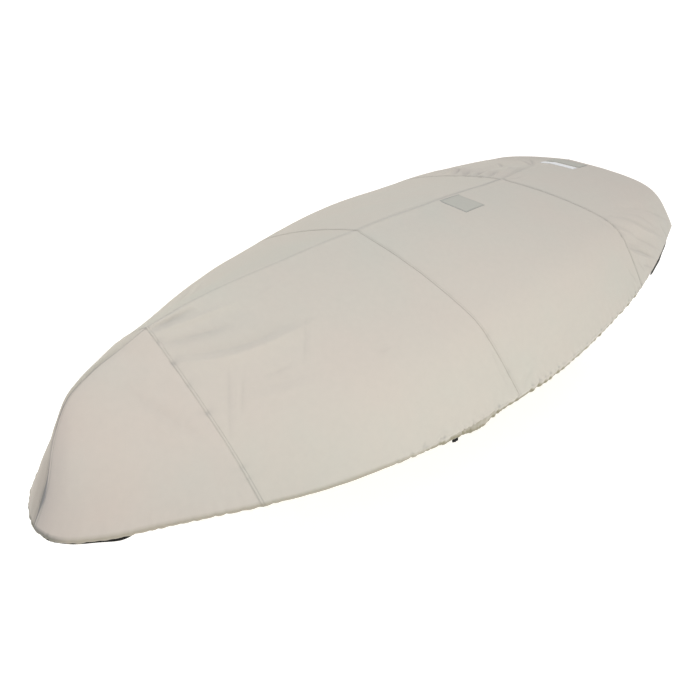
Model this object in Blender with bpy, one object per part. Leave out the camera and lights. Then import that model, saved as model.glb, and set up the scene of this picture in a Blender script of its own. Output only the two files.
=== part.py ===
"""A fitted cover for a small open boat, hollow, as it hangs when it is stretched over one.

+X points to the stern, -Y to port and +Z up. The origin is on the ridge at the middle seam, on the underside
of the upper cloth. Five cloth panels are lapped and sewn together. Patches, webbing and tabs are sewn on.
"""

import math

import bpy
import numpy as np

# ---- driving sizes, metres -----------------------------------------------------------------------------
CLOTH = 0.002  # thickness of a panel
SEWN_GAP = 0.0004  # between one sewn piece and the next
LAP = 0.018  # width of a lapped seam
STEP_RUN = 0.0046  # length over which the lower cloth of a seam drops below the upper
FRONT_SEAM = -1.251  # places of the seams and of the transom along X
MIDDLE_SEAM = 0.0
STERN_SEAM = 1.536
TRANSOM = 2.715
HEM_Z = -0.571  # level of the widest line all round

# Ridge line from the front seam to the transom: x, z of the cloth's outside.
RIDGE = (
    (-1.251, -0.008),
    (-1.100, 0.010),
    (-0.470, 0.010),
    (0.000, 0.002),
    (0.700, -0.027),
    (1.300, -0.086),
    (1.700, -0.116),
    (2.300, -0.176),
    (2.715, -0.226),
)

# Cross-sections: x, slope beside the ridge and crown to port, the same to starboard, shoulder, its radius.
# The crown is half of the slope that each further metre adds. The shoulder is its distance from the ridge.
SECTIONS = (
    (-1.251, 0.740, 0.376, 0.500, 0.600, 0.436, 0.030),
    (-0.700, 0.430, 0.200, 0.385, 0.165, 0.600, 0.034),
    (0.000, 0.216, 0.208, 0.192, 0.208, 0.753, 0.032),
    (1.536, 0.018, 0.165, 0.070, 0.165, 0.848, 0.046),
    (2.715, 0.028, 0.145, 0.050, 0.145, 0.740, 0.060),
)

# Widest line, seen from above: x, half width to port, half width to starboard. It starts at the nose.
HEM = (
    (-1.863, 0.000, 0.000),
    (-1.852, 0.100, 0.055),
    (-1.820, 0.158, 0.124),
    (-1.779, 0.200, 0.168),
    (-1.700, 0.268, 0.246),
    (-1.597, 0.335, 0.325),
    (-1.264, 0.560, 0.557),
    (-1.038, 0.692, 0.700),
    (-0.745, 0.815, 0.826),
    (-0.334, 0.920, 0.924),
    (0.000, 0.986, 0.986),
    (0.338, 1.036, 1.036),
    (0.800, 1.058, 1.058),
    (1.518, 1.042, 1.042),
    (2.000, 0.992, 0.992),
    (2.715, 0.872, 0.872),
)

# Stem: x, z of the centre line from the front seam to the nose.
STEM = (
    (-1.2555, -0.009),
    (-1.384, -0.042),
    (-1.515, -0.079),
    (-1.616, -0.133),
    (-1.695, -0.244),
    (-1.784, -0.447),
    (-1.863, -0.571),
)

# How far the hem hangs below the widest line: x, drop to port, drop to starboard.
SAG = (
    (-1.900, 0.000, 0.000),
    (-0.800, 0.000, 0.000),
    (-0.600, 0.016, 0.008),
    (-0.470, 0.034, 0.014),
    (-0.360, 0.046, 0.018),
    (-0.220, 0.070, 0.022),
    (-0.140, 0.036, 0.024),
    (0.000, 0.032, 0.026),
    (0.800, 0.030, 0.026),
    (1.500, 0.022, 0.020),
    (2.715, 0.014, 0.014),
)

# Turned-under hem: distance inwards, distance below the hung edge, outward and upward parts of its normal.
LIP = (
    (0.002, 0.010, 0.95, -0.30),
    (0.014, 0.021, 0.50, -0.85),
    (0.034, 0.024, 0.00, -1.00),
)

# Main folds: x and y of one end, x and y of the other, height (a trough where negative), half width.
FOLDS = (
    (-1.240, -0.120, -0.700, -0.310, 0.010, 0.050),  # pulled aft from the front seam
    (-1.230, -0.045, -0.800, -0.130, -0.007, 0.035),
    (1.530, -0.885, 2.050, -0.975, -0.012, 0.040),  # fanning out from the stern seam's bend
    (1.500, -0.800, 2.400, -0.890, 0.010, 0.045),
    (1.520, -0.700, 2.450, -0.800, -0.008, 0.045),
    (1.550, 0.200, 2.100, 0.060, 0.010, 0.040),  # slack cloth to starboard of the ridge
    (1.560, 0.300, 2.100, 0.260, -0.012, 0.045),
    (1.560, 0.420, 2.000, 0.480, 0.012, 0.045),
    (1.580, 0.540, 2.150, 0.660, -0.010, 0.050),
)

FOLD_FADE = 0.120  # distance from the hem over which a fold fades

DECK_COLUMNS, BEND_COLUMNS, SIDE_COLUMNS = 8, 3, 3  # columns of cells on one side, from the ridge down
BEND_REACH = 2.0  # half width of the shoulder bend, in radii
BOW_COLUMNS = 11
PANEL_CELL = 0.080  # length of a cell along the boat

SKIRT_EDGE = ((0.014, 0.008), (0.028, 0.026))  # rounding of the transom's top edge: aft, down
SKIRT_ROWS = 3
SKIRT_LEAN = 0.012  # how far the transom's cloth leans out at the hem
SKIRT_FULL = 0.120  # height from which the rounding has its full size
SKIRT_UP = 0.1  # upward part of the transom cloth's normal
CORNER_TURN = 0.6  # sideways part of that normal at the corners

# Flat pieces sewn on the cloth: name, x from, x to, y from, y to, cells along and across, material.
PATCH = 0.0012  # thickness
PATCH_GAP = 0.0005
PATCHES = (
    ("ridge_patch", 0.722, 0.934, -0.224, -0.044, 5, 5, "grey_patch"),
    ("transom_patch", 2.480, 2.650, -0.180, 0.090, 4, 6, "grey_patch"),
    ("label_strip", 2.360, 2.450, -0.180, 0.090, 3, 6, "white_label"),
)

# Webbing and tabs under the hem: name, x from, x to, greatest depth, least depth.
WEBBING = 0.0018  # thickness
WEBBING_INSET = 0.020  # from the widest line inwards
TRIM = (
    ("bow_webbing", -1.800, -1.660, 0.018, 0.005),
    ("side_tab", -0.435, -0.400, 0.020, 0.017),
    ("stern_webbing", 1.800, 2.350, 0.014, 0.005),
)
TRIM_CELL = 0.028

PORT, STARBOARD = -1, 1
CURVE_POINTS = 400  # points of a smooth curve while its length is measured
SLOPE_STEP = 0.004  # reach over which the cloth's slope is measured
SAME_PLACE = 6  # decimals to which two points are one


# ---- curves and surfaces -------------------------------------------------------------------------------
def through(rows, at, column=1):
    """Smooth curve through a table's first column and another, at the given places."""
    knots = np.array([row[0] for row in rows])
    values = np.array([row[column] for row in rows])
    slopes = np.gradient(values, knots)
    at = np.clip(at, knots[0], knots[-1])
    i = np.clip(np.searchsorted(knots, at) - 1, 0, len(knots) - 2)
    span = knots[i + 1] - knots[i]
    w = (at - knots[i]) / span
    start = (1 + 2 * w) * (1 - w) ** 2 * values[i] + w * (1 - w) ** 2 * span * slopes[i]
    end = w * w * (3 - 2 * w) * values[i + 1] - w * w * (1 - w) * span * slopes[i + 1]
    return start + end


def plane_curve(rows, share):
    """Points on the smooth curve through 2-D rows, at shares of its length."""
    rows = np.array(rows)
    knots = np.concatenate([[0], np.cumsum(np.linalg.norm(np.diff(rows, axis=0), axis=1))])
    dense = np.linspace(0, knots[-1], CURVE_POINTS)
    curve = np.stack([through(np.column_stack([knots, rows]), dense, column) for column in (1, 2)], 1)
    length = np.concatenate([[0], np.cumsum(np.linalg.norm(np.diff(curve, axis=0), axis=1))])
    return np.stack([np.interp(share, length / length[-1], curve[:, k]) for k in (0, 1)], 1)


HEM_SHARES = np.linspace(0, 1, CURVE_POINTS)
HEM_CURVES = {
    PORT: plane_curve([(x, port) for x, port, _ in HEM], HEM_SHARES),
    STARBOARD: plane_curve([(x, starboard) for x, _, starboard in HEM], HEM_SHARES),
}


def half_width(x, side):
    return np.interp(x, *HEM_CURVES[side].T)


def softened(y, centre, radius):
    """Rises from 0 to the slope 1 around the centre, over about the radius."""
    return radius * np.log1p(np.exp((y - centre) / radius))


def height(x, y):
    """Height of the cloth's outside over a point between the front seam and the transom."""
    side, columns = (STARBOARD, (3, 4, 5, 6)) if y > 0 else (PORT, (1, 2, 5, 6))
    y = abs(y)
    slope, crown, shoulder, radius = (through(SECTIONS, x, column) for column in columns)
    width = half_width(x, side)
    bend = softened(y, shoulder, radius) - softened(0.0, shoulder, radius)
    full_bend = softened(width, shoulder, radius) - softened(0.0, shoulder, radius)
    ridge = through(RIDGE, x)
    steepness = (ridge - HEM_Z - slope * width - crown * width**2) / full_bend
    return ridge - slope * y - crown * y**2 - steepness * bend


def unit(vector):
    return np.asarray(vector, float) / np.linalg.norm(vector)


def cloth_normal(x, y):
    """Outward direction of the smooth cloth; on the ridge, straight up across the boat."""
    d = SLOPE_STEP
    fore, aft = max(x - d, FRONT_SEAM), min(x + d, TRANSOM)
    along = (height(aft, y) - height(fore, y)) / (aft - fore)
    across = 0.0 if abs(y) < d else (height(x, y + d) - height(x, y - d)) / (2 * d)
    return unit((-along, -across, 1.0))


def fold_height(x, y):
    """Height of the main folds at a place; they fade out at the hem."""
    total = 0.0
    for x0, y0, x1, y1, rise, width in FOLDS:
        run = np.array((x1 - x0, y1 - y0))
        offset = np.array((x - x0, y - y0))
        share = float(offset @ run) / float(run @ run)
        if 0 < share < 1:
            away = abs(run[0] * offset[1] - run[1] * offset[0]) / math.hypot(*run)
            total += rise * math.sin(math.pi * share) * math.exp(-((away / width) ** 2))
    room = half_width(x, STARBOARD if y > 0 else PORT) - abs(y)
    return total * float(np.clip(room / FOLD_FADE, 0, 1))


def cloth_point(x, y):
    """Point on the outside of the cloth, with its folds, and the outward direction there."""
    normal = cloth_normal(x, y)
    return np.array((x, y, height(x, y))) + normal * fold_height(x, y), normal


def column_widths(x, side):
    """Distances from the ridge to the hem at which a section has its points, closer in the bend."""
    shoulder, radius = through(SECTIONS, x, 5), through(SECTIONS, x, 6)
    inner, outer = shoulder - BEND_REACH * radius, shoulder + BEND_REACH * radius
    width = half_width(x, side)
    return np.concatenate(
        [
            np.linspace(0, inner, DECK_COLUMNS + 1),
            np.linspace(inner, outer, BEND_COLUMNS + 1)[1:],
            np.linspace(outer, width, SIDE_COLUMNS + 1)[1:],
        ]
    )


def section(x, drop=0.0):
    """Points and normals from the port hem to the starboard hem, moved into the cloth by the drop."""
    across = np.concatenate([-column_widths(x, PORT)[:0:-1], column_widths(x, STARBOARD)])
    found = [cloth_point(x, y) for y in across]
    return [point - normal * drop for point, normal in found], [normal for _, normal in found]


def hem_inwards(x, side):
    """Direction in plan from the widest line towards the middle of the boat."""
    curve = HEM_CURVES[side]
    i = int(np.clip(np.searchsorted(curve[:, 0], x), 1, len(curve) - 2))
    run = curve[i + 1] - curve[i - 1]
    return unit((run[1], -side * run[0], 0.0))


def hem_sag(x, side):
    return max(0.0, float(through(SAG, x, 1 if side == PORT else 2)))


# ---- meshes --------------------------------------------------------------------------------------------
class Sheet:
    """The outside of a piece of cloth: points, normals and faces. It becomes a closed solid."""

    def __init__(self):
        self.points, self.normals, self.faces, self.index = [], [], [], {}

    def add(self, point, normal):
        key = tuple(round(float(value), SAME_PLACE) for value in point)
        if key not in self.index:
            self.index[key] = len(self.points)
            self.points.append(np.asarray(point, float))
            self.normals.append(unit(normal))
        return self.index[key]

    def face(self, corners):
        kept = [c for k, c in enumerate(corners) if c != corners[k - 1]]
        for k in range(1, len(kept) - 1):
            self.faces.append([kept[0], kept[k], kept[k + 1]])

    def strip(self, first, second):
        """Faces between two rows of indices of the same length."""
        for k in range(len(first) - 1):
            self.face((first[k], second[k], second[k + 1], first[k + 1]))

    def lip(self, edge, inwards, sags):
        """The turned-under hem along a row of indices that runs with the outside on its left."""
        rows = [edge]
        for inset, below, outward, up in LIP:
            row = []
            for i, direction, sag in zip(edge, inwards, sags):
                moved = direction * inset - np.array((0, 0, below + sag))
                normal = np.array((0, 0, up)) - outward * direction
                row.append(self.add(self.points[i] + moved, normal))
            rows.append(row)
        for upper, lower in zip(rows, rows[1:]):
            self.strip(upper, lower)

    def solid(self, name, material, thickness=CLOTH):
        count = len(self.points)
        inner = [p - n * thickness for p, n in zip(self.points, self.normals)]
        faces = [list(f) for f in self.faces]
        faces += [[i + count for i in reversed(f)] for f in self.faces]
        used = {(f[k - 1], f[k]) for f in self.faces for k in range(len(f))}
        faces += [[b, a, a + count, b + count] for a, b in sorted(used) if (b, a) not in used]
        return solid_object(name, self.points + inner, faces, material)


def solid_object(name, points, faces, material):
    mesh = bpy.data.meshes.new(name)
    mesh.from_pydata([tuple(map(float, p)) for p in points], [], faces)
    mesh.materials.append(material)
    mesh.update()
    made = bpy.data.objects.new(name, mesh)
    bpy.context.scene.collection.objects.link(made)
    return made


def material(name, colour, roughness):
    made = bpy.data.materials.new(name)
    made.use_nodes = True
    surface = made.node_tree.nodes["Principled BSDF"]
    surface.inputs["Base Color"].default_value = (*colour, 1.0)
    surface.inputs["Roughness"].default_value = roughness
    surface.inputs["Metallic"].default_value = 0.0
    return made


# ---- panels --------------------------------------------------------------------------------------------
def panel_rows(start, end, lapped_under):
    """Places along X of a panel's rows, each with its drop; the aft edge goes under the next panel."""
    count = round((end - start) / PANEL_CELL)
    rows = [(start, 0.0), (start + LAP, 0.0)]
    rows += [(x, 0.0) for x in np.linspace(start, end, count + 1)[1:-1]]
    if lapped_under:
        below = CLOTH + SEWN_GAP
        return rows + [(end - STEP_RUN, 0.0), (end - SEWN_GAP, below), (end + LAP, below)]
    return rows + [(end, 0.0)]


def panel_lip(sheet, rows, edge, side):
    """Hem of a panel's side; the lap under the next panel has none."""
    ordered = list(zip(rows, edge))
    if side == STARBOARD:
        ordered.reverse()
    inwards = [hem_inwards(x, side) for x, _ in rows]
    sags = [hem_sag(x, side) for x, _ in rows]
    if side == STARBOARD:
        inwards.reverse()
        sags.reverse()
    sheet.lip([i for _, i in ordered], inwards, sags)


def cross_panel(name, start, end, cloth):
    """A width of cloth right across the boat, between two seams."""
    sheet = Sheet()
    rows = panel_rows(start, end, lapped_under=True)
    grid = [[sheet.add(p, n) for p, n in zip(*section(x, drop))] for x, drop in rows]
    for fore, aft in zip(grid, grid[1:]):
        sheet.strip(fore, aft)
    for side, column in ((PORT, 0), (STARBOARD, -1)):
        panel_lip(sheet, rows[:-1], [row[column] for row in grid[:-1]], side)
    return sheet.solid(name, cloth)


def skirt_row(edge, normals, aft, down, share):
    """A row of the cloth over the transom: the rounding, then a share of the way to the hem."""
    points, directions = [], []
    for point, normal in zip(edge, normals):
        size = min(1.0, (point[2] - HEM_Z) / SKIRT_FULL)
        z = point[2] - down * size
        lean = (aft + SKIRT_LEAN * share) * size
        points.append(np.array((point[0] + lean, point[1], z + (HEM_Z - z) * share)))
        turned = min(1.0, aft / SKIRT_EDGE[-1][0])
        sideways = math.copysign(CORNER_TURN * (1 - size), point[1])
        directions.append(unit(normal * (1 - turned) + np.array((1.0, sideways, SKIRT_UP)) * turned))
    return points, directions


def stern_panel(name, cloth):
    """The last panel: across the boat from the stern seam, and down over the transom to the hem."""
    sheet = Sheet()
    rows = panel_rows(STERN_SEAM, TRANSOM, lapped_under=False)
    grid = [[sheet.add(p, n) for p, n in zip(*section(x, drop))] for x, drop in rows]
    edge, normals = section(TRANSOM)
    bends = [(aft, down, 0.0) for aft, down in SKIRT_EDGE]
    bends += [(*SKIRT_EDGE[-1], (k + 1) / SKIRT_ROWS) for k in range(SKIRT_ROWS)]
    skirt = [[sheet.add(p, n) for p, n in zip(*skirt_row(edge, normals, *bend))] for bend in bends]
    for fore, aft in zip(grid + skirt, (grid + skirt)[1:]):
        sheet.strip(fore, aft)

    port, starboard = [row[0] for row in grid], [row[-1] for row in reversed(grid)]
    hem = port + skirt[-1][1:-1] + starboard
    forward = np.array((-1.0, 0.0, 0.0))
    inwards = [hem_inwards(x, PORT) for x, _ in rows]
    inwards[-1] = unit(inwards[-1] + forward)
    inwards += [forward] * len(skirt[-1][1:-1])
    inwards += [unit(hem_inwards(TRANSOM, STARBOARD) + forward)]
    inwards += [hem_inwards(x, STARBOARD) for x, _ in reversed(rows[:-1])]
    sags = [hem_sag(x, PORT) for x, _ in rows]
    sags += [hem_sag(TRANSOM, PORT)] * len(skirt[-1][1:-1])
    sags += [hem_sag(x, STARBOARD) for x, _ in reversed(rows)]
    sheet.lip(hem, inwards, sags)
    return sheet.solid(name, cloth)


def bow_panel(name, side, cloth):
    """Half of the bow: a three-sided panel between the front seam, the stem and the hem."""
    widths = column_widths(FRONT_SEAM, side)
    seam = np.array([cloth_point(FRONT_SEAM, side * y)[0] for y in widths])
    run = np.concatenate([[0], np.cumsum(np.linalg.norm(np.diff(seam, axis=0), axis=1))])
    levels = run / run[-1]
    stem = plane_curve(STEM, levels)
    curve = HEM_CURVES[side]
    places = np.linspace(0, 1, BOW_COLUMNS + 1)
    hem_shares = np.interp(FRONT_SEAM, curve[:, 0], HEM_SHARES) * (1 - places)
    hem = np.column_stack([np.interp(hem_shares, HEM_SHARES, curve[:, k]) for k in (0, 1)])
    hem_points = np.column_stack([hem[:, 0], side * hem[:, 1], np.full(len(hem), HEM_Z)])

    def point(column, row):
        share = places[column]
        centre = np.array((stem[row][0], side * SEWN_GAP / 2, stem[row][1]))
        if row == 0:
            return centre
        chord = seam[row] * (1 - share) + centre * share
        foot_chord = hem_points[0] * (1 - share) + hem_points[-1] * share
        size = np.linalg.norm(seam[row] - centre) / np.linalg.norm(hem_points[0] - hem_points[-1])
        found = chord + (hem_points[column] - foot_chord) * size * levels[row]
        found[1] = side * max(side * found[1], SEWN_GAP / 2)
        return found

    rows = range(len(widths))
    outside = np.array([[point(c, r) for r in rows] for c in range(len(places))])
    sheet = Sheet()
    below = CLOTH + SEWN_GAP
    columns = []
    for x in (FRONT_SEAM + LAP, FRONT_SEAM - SEWN_GAP):
        at = max(x, FRONT_SEAM)
        found = [cloth_point(at, side * max(y, SEWN_GAP / 2)) for y in column_widths(at, side)]
        shift = np.array((x - at, 0.0, 0.0))
        columns.append([sheet.add(p - n * below + shift, n) for p, n in found])
    for c in range(1, len(places)):
        columns.append([sheet.add(outside[c][r], bow_normal(outside, c, r, side)) for r in rows])
    for first, second in zip(columns, columns[1:]):
        if side == PORT:
            sheet.strip(first, second)
        else:
            sheet.strip(second, first)
    edge = [column[-1] for column in columns[1:]]
    inwards = [hem_inwards(x, side) for x in hem[:, 0]]
    inwards[-1] = np.array((1.0, 0.0, 0.0))
    if side == PORT:
        edge.reverse()
        inwards.reverse()
    sheet.lip(edge, inwards, [0.0] * len(edge))
    return sheet.solid(name, cloth)


def bow_normal(outside, column, row, side):
    """Outward direction of the bow panel at a grid point; in the plane of symmetry along the stem."""
    columns, rows = outside.shape[:2]
    level = max(row, 1)
    along = outside[min(column + 1, columns - 1)][level] - outside[max(column - 1, 0)][level]
    down = outside[column][min(row + 1, rows - 1)] - outside[column][max(row - 1, 0)]
    normal = np.cross(along, down) * -side
    if column == columns - 1 or row == 0:
        normal[1] = 0.0
    return unit(normal)


# ---- pieces sewn on ------------------------------------------------------------------------------------
def patch(name, x_from, x_to, y_from, y_to, cells_along, cells_across, finish):
    """A flat piece that lies on the cloth and follows it."""
    sheet = Sheet()
    rows = []
    for x in np.linspace(x_from, x_to, cells_along + 1):
        found = [cloth_point(x, y) for y in np.linspace(y_from, y_to, cells_across + 1)]
        rows.append([sheet.add(p + n * (PATCH_GAP + PATCH), n) for p, n in found])
    for fore, aft in zip(rows, rows[1:]):
        sheet.strip(fore, aft)
    return sheet.solid(name, finish, PATCH)


def sewn_sag(x, side):
    """The hem's hang at a place, straight between the rows of the panel that carries it."""
    spans = ((FRONT_SEAM, MIDDLE_SEAM), (MIDDLE_SEAM, STERN_SEAM), (STERN_SEAM, TRANSOM))
    rows = sorted(row[0] for start, end in spans for row in panel_rows(start, end, lapped_under=False))
    return float(np.interp(x, rows, [hem_sag(row, side) for row in rows]))


def hem_trim(name, side, x_from, x_to, deepest, shallowest, finish):
    """A strip on edge, sewn to the underside of the turned hem, that hangs lowest in its middle."""
    (inset_a, below_a, *_), (inset_b, below_b, *_) = LIP[-2:]
    lip_below = below_a + (below_b - below_a) * (WEBBING_INSET - inset_a) / (inset_b - inset_a)
    count = max(3, round((x_to - x_from) / TRIM_CELL))
    sheet = Sheet()
    upper, lower = [], []
    for k in range(count + 1):
        x = x_from + (x_to - x_from) * k / count
        inwards = hem_inwards(x, side)
        edge = np.array((x, side * half_width(x, side), HEM_Z)) + inwards * WEBBING_INSET
        top = edge - np.array((0, 0, sewn_sag(x, side) + lip_below + PATCH_GAP))
        depth = shallowest + (deepest - shallowest) * math.sin(math.pi * k / count)
        upper.append(sheet.add(top, -inwards))
        lower.append(sheet.add(top - np.array((0, 0, depth)), -inwards))
    rows = (upper, lower) if side == PORT else (upper[::-1], lower[::-1])
    sheet.strip(*rows)
    return sheet.solid(name, finish, WEBBING)


# ---- build ---------------------------------------------------------------------------------------------
def main():
    for old in list(bpy.data.objects):
        bpy.data.objects.remove(old, do_unlink=True)
    cloth = material("beige_polyester", (0.60, 0.56, 0.48), 0.8)
    cross_panel("front_middle_panel", FRONT_SEAM, MIDDLE_SEAM, cloth)
    cross_panel("rear_middle_panel", MIDDLE_SEAM, STERN_SEAM, cloth)
    stern_panel("stern_panel", cloth)
    bow_panel("bow_panel_port", PORT, cloth)
    bow_panel("bow_panel_starboard", STARBOARD, cloth)
    finishes = {
        "grey_patch": material("grey_patch", (0.45, 0.45, 0.42), 0.7),
        "white_label": material("white_label", (0.85, 0.87, 0.90), 0.5),
    }
    for *row, finish in PATCHES:
        patch(*row, finishes[finish])
    black = material("black_webbing", (0.02, 0.02, 0.02), 0.7)
    for name, *row in TRIM:
        hem_trim(f"{name}_port", PORT, *row, black)
        hem_trim(f"{name}_starboard", STARBOARD, *row, black)


main()
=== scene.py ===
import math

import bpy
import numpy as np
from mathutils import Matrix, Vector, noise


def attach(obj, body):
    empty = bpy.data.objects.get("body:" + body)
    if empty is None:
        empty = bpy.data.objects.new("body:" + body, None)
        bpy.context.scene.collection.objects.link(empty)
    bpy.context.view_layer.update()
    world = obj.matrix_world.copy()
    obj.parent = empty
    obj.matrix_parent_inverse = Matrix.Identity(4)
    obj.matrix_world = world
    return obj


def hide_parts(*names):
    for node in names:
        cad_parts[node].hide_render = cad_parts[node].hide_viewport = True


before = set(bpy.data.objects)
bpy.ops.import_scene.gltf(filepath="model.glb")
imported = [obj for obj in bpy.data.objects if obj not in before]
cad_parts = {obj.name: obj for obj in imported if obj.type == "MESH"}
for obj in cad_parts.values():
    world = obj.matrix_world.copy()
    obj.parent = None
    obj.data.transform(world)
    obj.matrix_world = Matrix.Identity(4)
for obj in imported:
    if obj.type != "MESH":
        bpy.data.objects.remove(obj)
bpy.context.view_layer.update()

# Looks of the boat cover. The cloth is built again, finer, from the sizes of its solids: five panels with their
# folds, creases, gathered hem, lapped seams and stitching, and the patches, label, webbing and tabs sewn on them.
# +X points to the stern, -Y to port and +Z up. Lengths are in metres, but tables inside metres() in millimetres.

PORT, STARBOARD = -1, 1
SIDE_COLUMN = {PORT: 1, STARBOARD: 2}  # column of a side in HEM and SAG


def metres(rows):
    """A table written in millimetres, in metres."""
    return tuple(metres(row) if isinstance(row, tuple) else round(row / 1000, 9) for row in rows)


# ---- sizes of the solids ----
SEWN_GAP = 0.0004
FRONT_SEAM, MIDDLE_SEAM, STERN_SEAM, TRANSOM = -1.262, 0.0, 1.536, 2.715
HEM_Z = -0.571

# Ridge line: x, z.
RIDGE = metres((
    (-1251, -8), (-1100, 10), (-470, 10), (0, 2), (700, -27), (1300, -86), (1700, -116), (2300, -176), (2715, -226),
))
# Cross-sections: x, slope and crown to port, slope and crown to starboard, shoulder, its radius.
SECTIONS = (
    (-1.251, 0.740, 0.376, 0.500, 0.600, 0.436, 0.030),
    (-0.700, 0.430, 0.200, 0.385, 0.165, 0.600, 0.034),
    (0.000, 0.216, 0.208, 0.192, 0.208, 0.753, 0.032),
    (1.536, 0.018, 0.165, 0.070, 0.165, 0.848, 0.046),
    (2.715, 0.028, 0.145, 0.050, 0.145, 0.740, 0.060),
)
# Widest line: x, half width to port, half width to starboard.
HEM = metres((
    (-1863, 0, 0), (-1852, 100, 55), (-1820, 158, 124), (-1779, 200, 168), (-1700, 268, 246), (-1597, 335, 325),
    (-1264, 560, 557), (-1038, 692, 700), (-745, 815, 826), (-334, 920, 924), (0, 986, 986), (338, 1036, 1036),
    (800, 1058, 1058), (1518, 1042, 1042), (2000, 992, 992), (2715, 872, 872),
))
# Stem: x, z of the centre line.
STEM = metres((
    (-1266.5, -10), (-1384, -42), (-1515, -79), (-1616, -133), (-1695, -244), (-1784, -447), (-1863, -571),
))
# How far the hem hangs below the widest line: x, to port, to starboard.
SAG = metres((
    (-1900, 0, 0), (-800, 0, 0), (-600, 16, 8), (-470, 34, 14), (-360, 46, 18), (-220, 70, 22), (-140, 36, 24),
    (0, 32, 26), (800, 30, 26), (1500, 22, 20), (2715, 14, 14),
))
# Turned-under hem: distance inwards, distance below the hung edge.
LIP = metres(((0, 0), (2, 10), (14, 21), (34, 24)))
LIP_SLOPE = 0.18  # how far it leans inwards for each metre that it hangs
# Main folds: x, y of one end, x, y of the other, height, half width.
FOLDS = metres((
    (-1240, -120, -700, -310, 10, 50),
    (-1230, -45, -800, -130, -7, 35),
    (1530, -885, 2050, -975, -12, 40),
    (1500, -800, 2400, -890, 10, 45),
    (1520, -700, 2450, -800, -8, 45),
    (1550, 200, 2100, 60, 10, 40),
    (1560, 300, 2100, 260, -12, 45),
    (1560, 420, 2000, 480, 12, 45),
    (1580, 540, 2150, 660, -10, 50),
))
FOLD_FADE = 0.120  # distance from the hem in which they fade out
SKIRT_EDGE = metres(((0, 0), (14, 8), (28, 26)))  # rounding of the transom's top edge: aft, down
SKIRT_LEAN = 0.012
SKIRT_FULL = 0.120  # height of the skirt from which its rounding and lean are in full

# ---- fine sizes ----
SHEET = 0.0014  # thickness of the shown cloth
CELL = 0.0092  # length of a mesh cell along the boat
LIP_CELLS = 12
COLUMNS = {PORT: 138, STARBOARD: 98}  # cells of a section from the ridge to the hem
CROWDING = 0.22  # how much closer the columns are at the ridge and at the hem
LAP = 0.018  # width of the lap under a double row of stitches
UNDER = SHEET + 0.0001  # depth of a lower cloth under the upper one
# Rows of an upper cloth aft of its edge, and of its stitches.
SEAM_ROWS = metres((0, 1.3, 2.6, 3.9, 5.5, 7.3, 9.1, 10.4, 11.7, 13, 14.8, 18, 23, 30))
STITCH_ROWS = metres((2.6, 11.7))
# Rows of a lower cloth: distance aft of the seam, share of its depth.
LAP_ROWS = (
    (-0.022, 0), (-0.015, 0), (-0.010, 0), (-0.0068, 0), (-0.0050, 0), (-0.0038, 0.25), (-0.0026, 0.6),
    (-0.0014, 0.9), (-0.0004, 1), (0.007, 1), (0.014, 1), (LAP, 1),
)
# Rows of the bow's cloth: in its lap, as shares of the way from the seam to the stem, beside the stem.
BOW_LAP = (LAP, 0.014, 0.007, 0.0)
NEAR_SEAM = (0.0, 0.003, 0.008, 0.015)
STEM_ROWS = metres((0, 1.5, 4, 7, 9.5, 11, 12.5, 16, 21))
STEM_STITCH = 0.011
BOW_ROWS, BOW_COLUMNS = 84, 92
SKIRT_BEND_ROWS, SKIRT_FALL_ROWS = 5, 32
LIP_POINTS, LIP_SMOOTHING = 60, 13  # points along the turned hem before it is rounded, and how many are averaged
SECTION_POINTS, CURVE_POINTS, LINE_POINTS = 240, 400, 9


# ---- curves and surfaces ----
def bell(distance, width):
    """1 at no distance, and 1/e at the given width on either side."""
    return np.exp(-((distance / width) ** 2))


def ramp(value, start, end):
    """0 up to the start and 1 from the end on, which may also lie below the start."""
    return np.clip((value - start) / (end - start), 0, 1)


def unit(vectors):
    vectors = np.asarray(vectors, float)
    return vectors / np.maximum(np.linalg.norm(vectors, axis=-1, keepdims=True), 1e-12)


def through(rows, at, column=1):
    """Smooth curve through a table's first column and another, at the given places."""
    knots = np.array([row[0] for row in rows])
    values = np.array([row[column] for row in rows])
    slopes = np.gradient(values, knots)
    at = np.clip(at, knots[0], knots[-1])
    i = np.clip(np.searchsorted(knots, at) - 1, 0, len(knots) - 2)
    span = knots[i + 1] - knots[i]
    w = (at - knots[i]) / span
    start = (1 + 2 * w) * (1 - w) ** 2 * values[i] + w * (1 - w) ** 2 * span * slopes[i]
    end = w * w * (3 - 2 * w) * values[i + 1] - w * w * (1 - w) * span * slopes[i + 1]
    return start + end


def lengths(points):
    """Length along a row of points, from its first."""
    return np.concatenate([[0], np.cumsum(np.linalg.norm(np.diff(points, axis=0), axis=1))])


def points_at(at, knots, points):
    """Points of a row at places between its knots."""
    return np.stack([np.interp(at, knots, points[:, k]) for k in range(points.shape[1])], 1)


def plane_curve(rows, share):
    """Points on the smooth curve through 2-D rows, at shares of its length."""
    rows = np.array(rows)
    knots = lengths(rows)
    dense = np.linspace(0, knots[-1], CURVE_POINTS)
    curve = np.stack([through(np.column_stack([knots, rows]), dense, column) for column in (1, 2)], 1)
    length = lengths(curve)
    return points_at(share, length / length[-1], curve)


def line_through(places):
    """Evenly spaced places on a smooth line through a few."""
    if len(places) > 2:
        return plane_curve(places, np.linspace(0, 1, LINE_POINTS))
    return np.linspace(*places, LINE_POINTS)


HEM_SHARES = np.linspace(0, 1, CURVE_POINTS)
HEM_CURVES = {
    side: plane_curve([(row[0], row[column]) for row in HEM], HEM_SHARES) for side, column in SIDE_COLUMN.items()
}
HEM_LENGTHS = {side: lengths(curve) for side, curve in HEM_CURVES.items()}


def half_width(x, side):
    return np.interp(x, *HEM_CURVES[side].T)


def hem_length(x, side):
    """Length of the hem from the nose to a place."""
    return np.interp(x, HEM_CURVES[side][:, 0], HEM_LENGTHS[side])


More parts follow.
